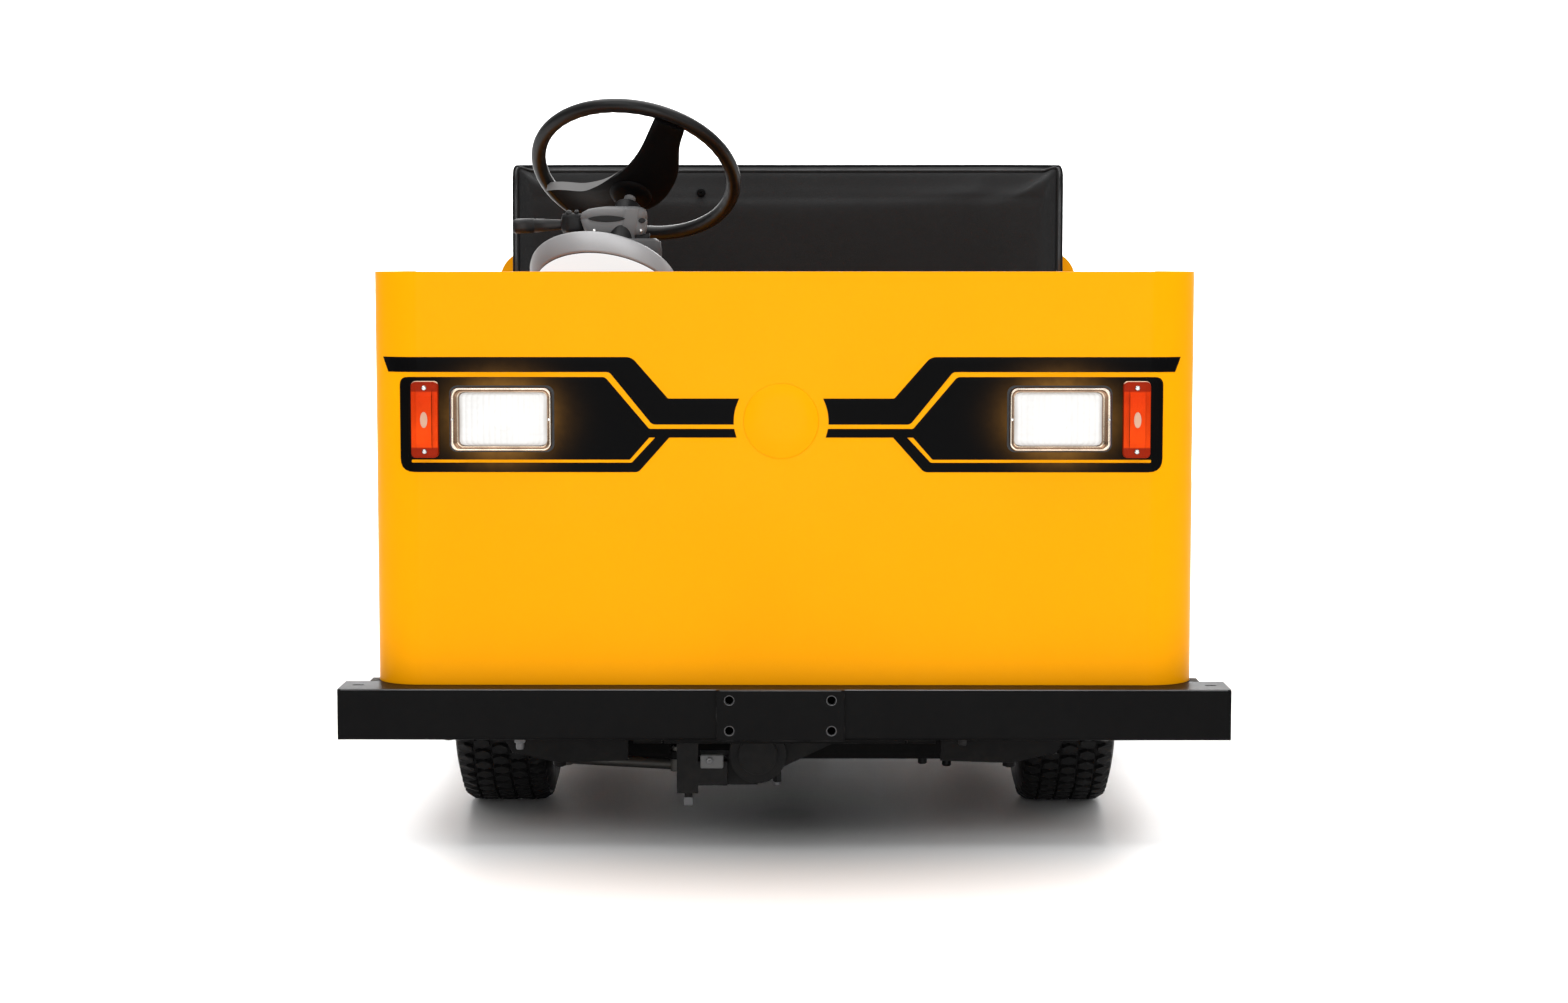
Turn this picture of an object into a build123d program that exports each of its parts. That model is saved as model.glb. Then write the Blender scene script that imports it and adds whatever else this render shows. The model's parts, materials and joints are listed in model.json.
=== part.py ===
# Electric platform truck: a flat load deck behind a one-bench driver's bay with a tall front cowl.
# Millimetres, +Z up, +X to the truck's left, the front faces -Y.
# The origin is on the ground, in the middle of the overall length and width.
# Depths (names ending in _D) are measured rearwards from the front face of the bumper's middle plate.
import math
import os

from build123d import *

# Fits: clear of a neighbour, and running on a pin or shaft
CLEARANCE = 0.4
RUNNING = 0.05

# Front bumper: a closed box section with a drilled plate in the middle
BUMPER_WIDTH = 1514.0
BUMPER_DEPTH = 100.0
BUMPER_LOW = 184.0
BUMPER_HIGH = 271.0
BUMPER_WALL = 6.0
BUMPER_EDGE_R = 5.0
BUMPER_SLOT_X = 729.0
BUMPER_SLOT_LENGTH = 20.0
BUMPER_SLOT_WIDTH = 8.0
PLATE_WIDTH = 218.0
PLATE_THICKNESS = 8.0
PLATE_HOLE_R = 7.0
PLATE_HOLES_X = 173.0
PLATE_HOLES_Z = 52.0
STAY_END_X = 490.0
STAY_LOW = 134.0
STAY_TAPER = 100.0

# Cowl
COWL_WIDTH = 1406.0
COWL_D = PLATE_THICKNESS + 52.0
COWL_CORNER_R = 80.0
COWL_HIGH = 976.0
COWL_SKIN = 6.0
COWL_LIP = 34.0
COWL_SIDE_END_D = 400.0
FENDER_END_D = 800.0
FENDER_HIGH = 630.0

# Wheels and tyres
TYRE_R = 270.0
TYRE_WIDTH = 168.0
TYRE_SHOULDER = 26.0
TYRE_FACETS = 52
RIM_R = 152.0
RIM_WIDTH = 128.0
RIM_LIP_R = 164.0
TRACK = 1014.0
FRONT_AXLE_D = 468.0
ARCH_R = 322.0
HUB_R = 46.0
DRUM_R = 104.0
STUD_CIRCLE_R = 57.0
VENT_CIRCLE_R = 123.0
VENT_R = 10.0
VENT_COUNT = 10
STUD_COUNT = 5
STUD_R = 7.0
STUD_LENGTH = 14.0

# Steering and front axle
KINGPIN_X = 400.0
KINGPIN_R = 12.0
BEAM_LOW = 76.0
BEAM_HIGH = 122.0
BEAM_DEPTH = 56.0
SPINDLE_R = 20.0
KNUCKLE_R = 26.0
EAR_THICKNESS = 20.0
BOSS_HALF = 34.0
ARM_LENGTH = 130.0
ARM_THICKNESS = 14.0
ARM_LOW = 106.0
ARM_WIDTH = 20.0
EYE_R = 15.0
EYE_PIN_R = 7.0
LINK_R = 10.0
LINK_Z = 95.0
OPEN_PIVOT_GAP = 0.5
DROP_ARM_X = -190.0
DROP_ARM_D = 405.0
DROP_SHAFT_R = 14.0
GEAR_LENGTH = 84.0

# Floor and frame
FLOOR_HIGH = BUMPER_HIGH
FLOOR_THICKNESS = 6.0
FLOOR_WIDTH = 1432.0
WELL_X = 292.0
WELL_SHEET = 4.0
WELL_D = 142.0
WELL_END_D = 794.0
WELL_HIGH = 580.0
RAIL_X = 240.0
RAIL_WIDTH = 60.0
RAIL_LOW = 178.0
RAIL_POST_DEPTH = 60.0
REAR_RAIL_LOW = 510.0
CROSSMEMBER_HEIGHT = 50.0
CROSSMEMBER_DEPTH = 60.0
FRONT_BAR_D = 150.0
FRONT_BAR_LOW = 154.0
SPRING_WIDTH = 50.0
LEAF = 7.0
LEAF_COUNT = 3
FRONT_SPRING_HALF = 290.0
REAR_SPRING_HALF = 420.0
SPRING_RISE = 22.0
SPRING_EYE_R = 12.0
SEAT_BOX_D = 960.0
SEAT_BOX_END_D = 1400.0
BULKHEAD_D = SEAT_BOX_END_D + 4.0
BULKHEAD_THICKNESS = 24.0
SEAT_BOX_WIDTH = 1190.0
SEAT_BOX_HIGH = 640.0
SEAT_BOX_WALL = 12.0
SEAT_BOX_FOLD = 34.0
BATTERY_WIDTH = 960.0
BATTERY_ROOM = 40.0
BATTERY_D = SEAT_BOX_D + BATTERY_ROOM
BATTERY_END_D = SEAT_BOX_END_D - BATTERY_ROOM
BATTERY_HIGH = 560.0
FLOOR_END_D = BULKHEAD_D + BULKHEAD_THICKNESS
RAIL_POST_D = FLOOR_END_D
RAIL_POST_END_D = RAIL_POST_D + RAIL_POST_DEPTH
DECK_D = FLOOR_END_D + 4.0
DECK_LENGTH = 2008.0
DECK_END_D = DECK_D + DECK_LENGTH
REAR_OVERHANG = 880.0
REAR_AXLE_D = DECK_END_D - REAR_OVERHANG
DECK_WIDTH = 1420.0
DECK_HIGH = 700.0
DECK_RIM = 90.0
DECK_PLATE = 6.0
PANEL_X = 700.0
PANEL_LOW = 330.0
PANEL_SHEET = 4.0
PANEL_ARCH_R = DECK_HIGH - DECK_RIM - TYRE_R - 20.0
REAR_AXLE_R = 42.0
DIFF_R = 120.0
DIFF_WIDTH = 140.0
DIFF_NECK_R = 70.0
SPRING_PAD_DEPTH = 80.0
MOTOR_R = 105.0
MOTOR_LENGTH = 300.0
MOTOR_GAP = 130.0
MOTOR_END_D = REAR_AXLE_D - MOTOR_GAP
MOTOR_D = MOTOR_END_D - MOTOR_LENGTH
HITCH_LOW = 300.0
HITCH_HIGH = 400.0
HITCH_WIDTH = 120.0
HITCH_PLATE = 16.0
HITCH_PIN_R = 16.0
HITCH_REACH = 60.0
TAIL_LOW = 430.0
TAIL_SHEET = 6.0
TAIL_LAMP_X = 560.0
TAIL_LAMP_Z = 540.0
TAIL_LAMP_WIDTH = 120.0
TAIL_LAMP_HEIGHT = 80.0
TAIL_LAMP_PROUD = 30.0
LENGTH = DECK_END_D + HITCH_REACH
FRONT = -LENGTH / 2
DECK_BEARER_COUNT = 5
DECK_BEARER_WIDTH = 50.0

# Seat
SEAT_WIDTH = SEAT_BOX_WIDTH
CUSHION_THICKNESS = 105.0
SEAT_OVERHANG = 20.0
CUSHION_D = SEAT_BOX_D - SEAT_OVERHANG
CUSHION_GAP = 14.0
CUSHION_R = 26.0
LID_THICKNESS = 14.0
HINGE_OUT = 10.0
HINGE_D = SEAT_BOX_D - HINGE_OUT
HINGE_DROP = 8.0
HINGE_R = 7.0
HINGE_PIN_R = 4.0
HINGE_X = 400.0
HINGE_LENGTH = 60.0
BACK_THICKNESS = 86.0
CUSHION_END_D = BULKHEAD_D - BACK_THICKNESS - CUSHION_GAP
BACK_LOW = 790.0
BACK_FRAME_DROP = 60.0
BACK_HIGH = 1203.0
BULKHEAD_WIDTH = 1246.0
BULKHEAD_HIGH = 1015.0

# Steering wheel: the centre, its lean and its size
WHEEL_X = -281.0
WHEEL_D = 600.0
WHEEL_Z = 1162.0
WHEEL_R = 199.0
WHEEL_RIM_R = 12.5
WHEEL_AXIS_UP = 52.0
WHEEL_AXIS_SIDE = 13.0
HUB_DROP = 62.0
HUB_BOSS_R = 32.0
HUB_BOSS_LENGTH = 30.0
SPOKE_WIDTH = 62.0
SPOKE_THICKNESS = 9.0
SPOKE_ANGLES = (16.5, -127.0)
COLUMN_R = 24.0
COLUMN_TOP_DROP = 86.0
COLUMN_END_DROP = 430.0
SHAFT_R = 11.0
SHAFT_LENGTH = 130.0
POD_R = 139.0
POD_LENGTH = 54.0
POD_DROP = 288.0
DASH_BAR_D = 322.0
DASH_BAR_Z = 800.0
DASH_BAR_WIDTH = 40.0
DASH_BAR_HEIGHT = 45.0

# Column switch and what is beside it: x from and to, depth from and to, z from and to
SWITCH_HOUSING = (-351.0, -237.0, 492.0, 560.0, 1040.0, 1095.0)
SWITCH_BLOCKS = (
    (-386.0, -350.0, 505.0, 540.0, 1046.0, 1086.0),
    (-300.0, -228.0, 470.0, 520.0, 950.0, 1036.0),
    (-300.0, -250.0, 500.0, 515.0, 1030.0, 1045.0),
)
# Switch lever: x and z at the start and end of each stretch, and its radius
LEVER_D = 522.0
LEVER_STRETCHES = ((-385.0, 1064.0, -492.0, 1059.0, 8.0), (-440.0, 1062.0, -505.0, 1058.0, 11.0))

# Pedals: x and pad width of each
PEDALS = ((-95.0, 84.0), (55.0, 64.0))
PEDAL_D = 262.0
PEDAL_FOOT = 20.0
PEDAL_LOW = 375.0

# Lamps: the pairs sit this much off the truck's middle, as does the bumper's plate
FRONT_SHIFT_X = -6.0
LAMP_X = 473.0
LAMP_Z = 727.0
LAMP_WIDTH = 172.0
LAMP_HEIGHT = 107.0
LAMP_PROUD = 26.0
LAMP_CORNER_R = 14.0
LAMP_INNER_LIP = 8.5
LAMP_OUTER_LIP = 15.0
LAMP_END_LIP = 8.5
LAMP_BACK = 8.0
GASKET_BORDER = 3.0
GASKET_THICKNESS = 4.0
MARKER_X = 603.0
MARKER_Z = 726.0
MARKER_WIDTH = 46.0
MARKER_HEIGHT = 130.0
MARKER_PROUD = 22.0


def at(x, depth, z):
    """A point from the truck's own measures."""
    return Vector(x, FRONT + depth, z)


def block(x0, x1, d0, d1, z0, z1, edge=0.0):
    """A rectangular block between two corners, its lengthwise edges rounded by edge."""
    low, high = at(min(x0, x1), min(d0, d1), min(z0, z1)), at(max(x0, x1), max(d0, d1), max(z0, z1))
    size, centre = high - low, (low + high) * 0.5
    solid = Pos(*centre) * Box(size.X, size.Y, size.Z)
    if edge > 0:
        long_axis = [Axis.X, Axis.Y, Axis.Z][[size.X, size.Y, size.Z].index(max(size.X, size.Y, size.Z))]
        solid = fillet(solid.edges().filter_by(long_axis), edge)
    return solid


def side_plate(points, x0, x1, rounding=0.0):
    """A plate seen from the side: points are (depth, z), and it runs from x0 to x1."""
    outline = make_face(Polyline(*[(FRONT + d, z) for d, z in points], close=True))
    if rounding > 0:
        outline = fillet(outline.vertices(), rounding)
    return extrude(Plane.YZ.offset(min(x0, x1)) * outline, amount=abs(x1 - x0))


def front_plate(outline, d0, d1):
    """A plate seen from the front: outline is a face in (x, z), and it runs from depth d0 to d1."""
    plane = Plane(origin=(0, FRONT + d0, 0), x_dir=(1, 0, 0), z_dir=(0, -1, 0))
    return extrude(plane * outline, amount=-(d1 - d0))


def polygon(points, rounding=0.0):
    outline = make_face(Polyline(*points, close=True))
    return fillet(outline.vertices(), rounding) if rounding > 0 else outline


def rounded(width, height, radius, x=0.0, z=0.0):
    return Pos(x, z) * RectangleRounded(width, height, radius)


def rod(start, end, radius):
    """A round bar between two points."""
    run = end - start
    plane = Plane(origin=start, z_dir=run.normalized())
    return plane * Cylinder(radius, run.length, align=(Align.CENTER, Align.CENTER, Align.MIN))


def upright(x, depth, z0, z1, radius):
    return rod(at(x, depth, z0), at(x, depth, z1), radius)


def crosswise(x0, x1, depth, z, radius):
    return rod(at(x0, depth, z), at(x1, depth, z), radius)


def lengthwise(d0, d1, x, z, radius):
    return rod(at(x, d0, z), at(x, d1, z), radius)


def spun(points, depth, z):
    """A body of revolution about a crosswise axis: points are (x, radius)."""
    outline = make_face(Polyline(*points, close=True))
    return Pos(0, FRONT + depth, z) * revolve(outline, Axis.X, 360)


def mirrored(solid):
    return mirror(solid, Plane.YZ)


def both_sides(make):
    """The same piece on the left and the right: make(side) is called with +1 and -1."""
    return Compound(children=[make(1), make(-1)])


def front_bumper():
    half = BUMPER_WIDTH / 2
    front, rear = PLATE_THICKNESS, PLATE_THICKNESS + BUMPER_DEPTH
    outer = block(-half, half, front, rear, BUMPER_LOW, BUMPER_HIGH, BUMPER_EDGE_R)
    wall = BUMPER_WALL
    low, high = BUMPER_LOW + wall, BUMPER_HIGH - wall
    hollow = block(-half + wall, half - wall, front + wall, rear - wall, low, high)
    bar = outer - hollow
    middle_d = (front + rear) / 2
    for x in (-BUMPER_SLOT_X, BUMPER_SLOT_X):
        slot = extrude(SlotOverall(BUMPER_SLOT_LENGTH, BUMPER_SLOT_WIDTH), amount=3 * wall)
        bar -= Pos(*at(x, middle_d, BUMPER_HIGH - 2 * wall)) * slot
    return bar - plate_holes(0, front + 2 * wall)


def plate_holes(d0, d1):
    """The four bolt holes of the middle plate."""
    level, across, rise = (BUMPER_LOW + BUMPER_HIGH) / 2, PLATE_HOLES_X / 2, PLATE_HOLES_Z / 2
    return [
        lengthwise(d0 - 1, d1, FRONT_SHIFT_X + sx * across, level + sz * rise, PLATE_HOLE_R)
        for sx in (-1, 1)
        for sz in (-1, 1)
    ]


def bumper_plate():
    half = PLATE_WIDTH / 2
    plate = block(FRONT_SHIFT_X - half, FRONT_SHIFT_X + half, 0, PLATE_THICKNESS, BUMPER_LOW, BUMPER_HIGH)
    return plate - plate_holes(0, PLATE_THICKNESS + 1)


def bumper_stays():
    """Tapered stays under the bumper's ends, from the rails outwards, each with its two bolts."""
    inner, outer, low = RAIL_X + RAIL_WIDTH / 2, STAY_END_X, STAY_LOW
    tip_low, plate, flange = low + 14, 12.0, 8.0
    bolt_r, nut_r, nut = 6.0, 11.0, 10.0
    front_d = PLATE_THICKNESS + BUMPER_DEPTH
    rear_d = front_d + 36
    high = BUMPER_LOW
    points = [(inner, high), (inner, low), (outer - STAY_TAPER, low - 4), (outer - 20, tip_low), (outer, high)]
    stay = front_plate(polygon(points), front_d - plate, front_d)
    stay += block(inner, outer, front_d - plate, rear_d, BUMPER_LOW - flange, BUMPER_LOW)
    for x, bottom in ((outer - 28, tip_low - 8), (outer - STAY_TAPER, low - 16)):
        bolt_d = (front_d + rear_d) / 2
        stay += upright(x, bolt_d, bottom, BUMPER_LOW - flange, bolt_r)
        stay += upright(x, bolt_d, bottom + 2, bottom + 2 + nut, nut_r)
    return Compound(children=[stay, mirrored(stay)])


def cowl():
    """The tall front sheet with rounded corners, its sides ending in the front wheel arches."""
    half = COWL_WIDTH / 2

    def shell(inset):
        radius = COWL_CORNER_R - inset
        plan = Polyline(
            (-half + inset, FRONT + FENDER_END_D),
            (-half + inset, FRONT + COWL_D + inset),
            (half - inset, FRONT + COWL_D + inset),
            (half - inset, FRONT + FENDER_END_D),
            close=True,
        )
        face = make_face(plan)
        corners = face.vertices().sort_by(Axis.Y)[:2]
        return fillet(corners, radius)

    outer, inner = shell(0), shell(COWL_SKIN)
    height = COWL_HIGH - FLOOR_HIGH
    skin = extrude(Pos(0, 0, FLOOR_HIGH) * (outer - inner), amount=height)
    lip = extrude(Pos(0, 0, COWL_HIGH - COWL_SKIN) * (outer - shell(COWL_LIP)), amount=COWL_SKIN)
    body = skin + lip
    slope = [
        (COWL_SIDE_END_D, COWL_HIGH + 5),
        (COWL_SIDE_END_D, COWL_HIGH - 60),
        (COWL_SIDE_END_D + 70, FENDER_HIGH + 60),
        (COWL_SIDE_END_D + 150, FENDER_HIGH),
        (FENDER_END_D + 5, FENDER_HIGH),
        (FENDER_END_D + 5, COWL_HIGH + 5),
    ]
    body -= side_plate(slope, -half - 1, half + 1)
    arch = crosswise(-half - 1, half + 1, FRONT_AXLE_D, TYRE_R, ARCH_R)
    return body - arch


def floor():
    """The floor sheet, cut away over the front wheels."""
    half = FLOOR_WIDTH / 2
    front_d = PLATE_THICKNESS + BUMPER_DEPTH
    sheet = block(-half, half, front_d, FLOOR_END_D, FLOOR_HIGH - FLOOR_THICKNESS, FLOOR_HIGH)
    inner = WELL_X + WELL_SHEET
    for side in (-1, 1):
        d0, d1, low = WELL_D + WELL_SHEET, WELL_END_D - WELL_SHEET, FLOOR_HIGH - FLOOR_THICKNESS
        sheet -= block(side * inner, side * (half + 1), d0, d1, low - 1, FLOOR_HIGH + 1)
    return sheet


def wheel_boxes():
    """The sheet boxes over the front wheels: front, rear, inner wall and top."""
    outer = COWL_WIDTH / 2 - COWL_SKIN

    def one(side):
        box = block(side * WELL_X, side * outer, WELL_D, WELL_END_D, FLOOR_HIGH, WELL_HIGH)
        inside = block(
            side * (WELL_X + WELL_SHEET), side * (outer + 1),
            WELL_D + WELL_SHEET, WELL_END_D - WELL_SHEET,
            FLOOR_HIGH - 1, WELL_HIGH - WELL_SHEET,
        )
        return box - inside

    return both_sides(one)


def frame_rail(side):
    """One side of the ladder frame: low under the floor, then up a post to the deck's level."""
    inner, outer = side * (RAIL_X - RAIL_WIDTH / 2), side * (RAIL_X + RAIL_WIDTH / 2)
    floor_low = FLOOR_HIGH - FLOOR_THICKNESS
    deck_low = DECK_HIGH - DECK_RIM
    points = [
        (PLATE_THICKNESS + BUMPER_DEPTH, RAIL_LOW),
        (RAIL_POST_END_D, RAIL_LOW),
        (RAIL_POST_END_D, REAR_RAIL_LOW),
        (DECK_END_D, REAR_RAIL_LOW),
        (DECK_END_D, deck_low),
        (RAIL_POST_D, deck_low),
        (RAIL_POST_D, floor_low),
        (PLATE_THICKNESS + BUMPER_DEPTH, floor_low),
    ]
    return side_plate(points, inner, outer)


def crossmembers():
    """Bars between the rails: (depth, lowest level), a straight bar at each."""
    inner = RAIL_X - RAIL_WIDTH / 2
    rear_level = DECK_HIGH - DECK_RIM - CROSSMEMBER_HEIGHT
    middle_level = FLOOR_HIGH - FLOOR_THICKNESS - CROSSMEMBER_HEIGHT - 19
    places = (
        (FRONT_BAR_D, FRONT_BAR_LOW),
        (WELL_END_D - 94, middle_level),
        (SEAT_BOX_D + 140, middle_level),
        (RAIL_POST_D, RAIL_LOW),
        (REAR_AXLE_D - REAR_SPRING_HALF - 100, rear_level),
        (REAR_AXLE_D + REAR_SPRING_HALF - 80, rear_level),
        (DECK_END_D - TAIL_SHEET - CROSSMEMBER_DEPTH, rear_level),
    )
    bars = [block(-inner, inner, d, d + CROSSMEMBER_DEPTH, z, z + CROSSMEMBER_HEIGHT) for d, z in places]
    return Compound(children=bars)


def leaf_springs(axle_d, seat_z, half, rail_z):
    """A pair of leaf springs: stacked leaves over the axle, eyes at the ends and hangers up to the rails."""
    width, eye = SPRING_WIDTH / 2, SPRING_EYE_R

    def one(side):
        pack = None
        for leaf in range(LEAF_COUNT):
            reach = half * (1 - 0.28 * (LEAF_COUNT - 1 - leaf))
            z = seat_z + leaf * LEAF
            rise = SPRING_RISE * (reach / half) ** 2
            y0, y, y1, tip_z = FRONT + axle_d - reach, FRONT + axle_d, FRONT + axle_d + reach, z + rise
            curve = ThreePointArc((y0, tip_z), (y, z), (y1, tip_z))
            upper = ThreePointArc((y1, tip_z + LEAF), (y, z + LEAF), (y0, tip_z + LEAF))
            ends = [Line(curve @ 1, upper @ 0), Line(upper @ 1, curve @ 0)]
            face = make_face([curve, ends[0], upper, ends[1]])
            solid = extrude(Plane.YZ.offset(side * RAIL_X - width) * face, amount=2 * width)
            pack = solid if pack is None else pack + solid
        eye_z = seat_z + (LEAF_COUNT - 1) * LEAF + SPRING_RISE + LEAF / 2
        for end in (-1, 1):
            d = axle_d + end * half
            pack += crosswise(side * RAIL_X - width, side * RAIL_X + width, d, eye_z, eye)
            if rail_z > eye_z:
                pack += block(side * RAIL_X - width, side * RAIL_X + width, d - eye, d + eye, eye_z, rail_z)
        return pack

    return both_sides(one)


def front_axle_beam():
    """A dropped beam that rises at each end into the eye for the kingpin."""
    d0, d1 = FRONT_AXLE_D - BEAM_DEPTH / 2, FRONT_AXLE_D + BEAM_DEPTH / 2
    neck, shoulder = KINGPIN_X - KNUCKLE_R - 8, KINGPIN_X - 78
    low, high = TYRE_R - BOSS_HALF, TYRE_R + BOSS_HALF
    half = [(shoulder, BEAM_LOW), (neck, low - 50), (neck, low), (KINGPIN_X, low), (KINGPIN_X, high),
            (neck - 20, high), (neck - 26, low - 30), (shoulder - 20, BEAM_HIGH)]
    points = half + [(-x, z) for x, z in reversed(half)]
    beam = front_plate(polygon(points), d0, d1)
    for side in (-1, 1):
        x = side * KINGPIN_X
        beam -= block(x - side * KNUCKLE_R, x + side * 40, d0 - 1, d1 + 1, low - 1, high + 1)
        beam += upright(x, FRONT_AXLE_D, low, high, KNUCKLE_R)
        boss_d0, boss_d1 = FRONT_AXLE_D - KNUCKLE_R, FRONT_AXLE_D + KNUCKLE_R
        beam += block(x - side * 40, x - side * 10, boss_d0, boss_d1, low, high)
        beam -= upright(x, FRONT_AXLE_D, low - 1, high + 1, KINGPIN_R)
    return beam


def kingpins():
    reach = BOSS_HALF + EAR_THICKNESS + CLEARANCE

    def one(side):
        return upright(side * KINGPIN_X, FRONT_AXLE_D, TYRE_R - reach, TYRE_R + reach, KINGPIN_R)

    return both_sides(one)


def steering_arm(side, direction):
    """An arm that slopes from the knuckle's lower ear down to its eye, rearwards (+1) or forwards (-1)."""
    x, half = side * KINGPIN_X, ARM_WIDTH / 2
    top = TYRE_R - BOSS_HALF - CLEARANCE
    root, eye = FRONT_AXLE_D + direction * 10, FRONT_AXLE_D + direction * ARM_LENGTH
    knee = FRONT_AXLE_D + direction * (KNUCKLE_R + 8)
    arm_high = ARM_LOW + ARM_THICKNESS
    ear_low = top - EAR_THICKNESS
    points = [
        (root, top),
        (knee, top),
        (eye - direction * 22, arm_high),
        (eye, arm_high),
        (eye, ARM_LOW),
        (eye - direction * 30, ARM_LOW),
        (knee - direction * 8, ear_low),
        (root, ear_low),
    ]
    arm = side_plate(points, x - half, x + half)
    arm += upright(x, eye, ARM_LOW, arm_high, EYE_R)
    return arm


def eye_bore(x, depth, gap):
    return upright(x, depth, ARM_LOW - 1, ARM_LOW + ARM_THICKNESS + 1, EYE_PIN_R + gap)


def knuckle(side):
    """A fork round the beam's eye, with the wheel's spindle, the brake's backing plate and the arms."""
    x = side * KINGPIN_X
    inner, web = side * (KINGPIN_X + KNUCKLE_R + 4), side * (KINGPIN_X + KNUCKLE_R + 24)
    gap, ear = BOSS_HALF + CLEARANCE, EAR_THICKNESS
    d0, d1 = FRONT_AXLE_D - KNUCKLE_R, FRONT_AXLE_D + KNUCKLE_R
    body = block(inner, web, d0, d1, TYRE_R - gap - ear, TYRE_R + gap + ear)
    for z in (TYRE_R + gap, TYRE_R - gap - ear):
        body += upright(x, FRONT_AXLE_D, z, z + ear, KNUCKLE_R)
        body += block(x, web, d0, d1, z, z + ear)
    body += steering_arm(side, 1)
    if side < 0:
        body += steering_arm(side, -1)
    body -= upright(x, FRONT_AXLE_D, TYRE_R - gap - ear - 1, TYRE_R + gap + ear + 1, KINGPIN_R + RUNNING)
    body -= eye_bore(x, FRONT_AXLE_D + ARM_LENGTH, RUNNING if side > 0 else OPEN_PIVOT_GAP)
    if side < 0:
        body -= eye_bore(x, FRONT_AXLE_D - ARM_LENGTH, OPEN_PIVOT_GAP)
    return body + spindle(side, FRONT_AXLE_D, web)


def spindle(side, axle_d, start):
    """The stub that the wheel turns on, with the round backing plate that closes the drum."""
    plate_x, plate = side * (TRACK / 2 - 45), 6.0
    stub = crosswise(start, side * (TRACK / 2 + 45), axle_d, TYRE_R, SPINDLE_R)
    return stub + crosswise(plate_x, plate_x + side * plate, axle_d, TYRE_R, DRUM_R)


def tie_rod():
    """The bar between the knuckles' rear arms, a pin standing up at each end."""
    d = FRONT_AXLE_D + ARM_LENGTH
    bar = crosswise(-KINGPIN_X, KINGPIN_X, d, LINK_Z, LINK_R)
    for x in (-KINGPIN_X, KINGPIN_X):
        bar += link_end(x, d)
    return bar


def link_end(x, depth):
    """A round housing with its pin and nut; the pin passes up through an arm's eye."""
    top = ARM_LOW - CLEARANCE
    arm_high = ARM_LOW + ARM_THICKNESS
    nut_low, nut_high, nut_r = arm_high + CLEARANCE, arm_high + 8, 11.0
    end = upright(x, depth, LINK_Z - LINK_R - 1, top, EYE_R)
    end += upright(x, depth, top, nut_high, EYE_PIN_R)
    return end + upright(x, depth, nut_low, nut_high, nut_r)


def drop_arm():
    """The arm under the steering gear, with its shaft up into the gear's box."""
    high = ARM_LOW + ARM_THICKNESS
    eye_d, half = DROP_ARM_D - ARM_LENGTH, ARM_WIDTH / 2
    arm = block(DROP_ARM_X - half, DROP_ARM_X + half, eye_d, DROP_ARM_D, ARM_LOW, high)
    arm += upright(DROP_ARM_X, eye_d, ARM_LOW, high, EYE_R)
    arm += upright(DROP_ARM_X, DROP_ARM_D, ARM_LOW, high, EYE_R + 6)
    arm += upright(DROP_ARM_X, DROP_ARM_D, high, RAIL_LOW + 40, DROP_SHAFT_R)
    return arm - eye_bore(DROP_ARM_X, eye_d, RUNNING)


def drag_link():
    """The bar from the drop arm to the front arm of the right-hand knuckle."""
    start, end = (DROP_ARM_X, DROP_ARM_D - ARM_LENGTH), (-KINGPIN_X, FRONT_AXLE_D - ARM_LENGTH)
    bar = rod(at(*start, LINK_Z), at(*end, LINK_Z), LINK_R)
    return bar + link_end(*start) + link_end(*end)


def steering_gear():
    """The gear's box between the rail and the drop arm's shaft, bored for that shaft."""
    rail_inner = -(RAIL_X - RAIL_WIDTH / 2)
    floor_low, half = FLOOR_HIGH - FLOOR_THICKNESS, GEAR_LENGTH / 2
    box = block(rail_inner, DROP_ARM_X + 60, DROP_ARM_D - half, DROP_ARM_D + half, RAIL_LOW, floor_low, 6)
    box += upright(DROP_ARM_X, DROP_ARM_D, RAIL_LOW - 22, RAIL_LOW + 1, DROP_SHAFT_R + 5)
    return box - upright(DROP_ARM_X, DROP_ARM_D, RAIL_LOW - 23, RAIL_LOW + 41, DROP_SHAFT_R + RUNNING)


def front_housing():
    """What hangs from the front crossmember: a round housing with its cover, a side web and a bracket."""
    bar_low, bar_d, centre_x, centre_z = FRONT_BAR_LOW, FRONT_BAR_D, -47.0, 132.0
    outer_r, cover_r, length = 50.0, 34.0, 120.0
    housing = lengthwise(bar_d + 12, bar_d + length, centre_x, centre_z, outer_r)
    housing += lengthwise(bar_d + 4, bar_d + 12, centre_x, centre_z, cover_r)
    housing += block(-151, centre_x, bar_d + 30, bar_d + 90, 76, 126)
    web = polygon([(centre_x, 92), (2, 107), (116, bar_low + 8), (centre_x, bar_low + 8)])
    housing += front_plate(web, bar_d + 44, bar_d + 54)
    bracket = block(-188, -151, bar_d, bar_d + 14, 66, bar_low + 20)
    bracket += block(-152, -100, bar_d, bar_d + 32, 80, 122)
    bracket += upright(-168, bar_d + 7, 46, 67, 7)
    whole = housing + bracket
    inner = RAIL_X - RAIL_WIDTH / 2
    bar_high = bar_low + CROSSMEMBER_HEIGHT
    return whole - block(-inner, inner, bar_d, bar_d + CROSSMEMBER_DEPTH, bar_low, bar_high)


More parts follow.
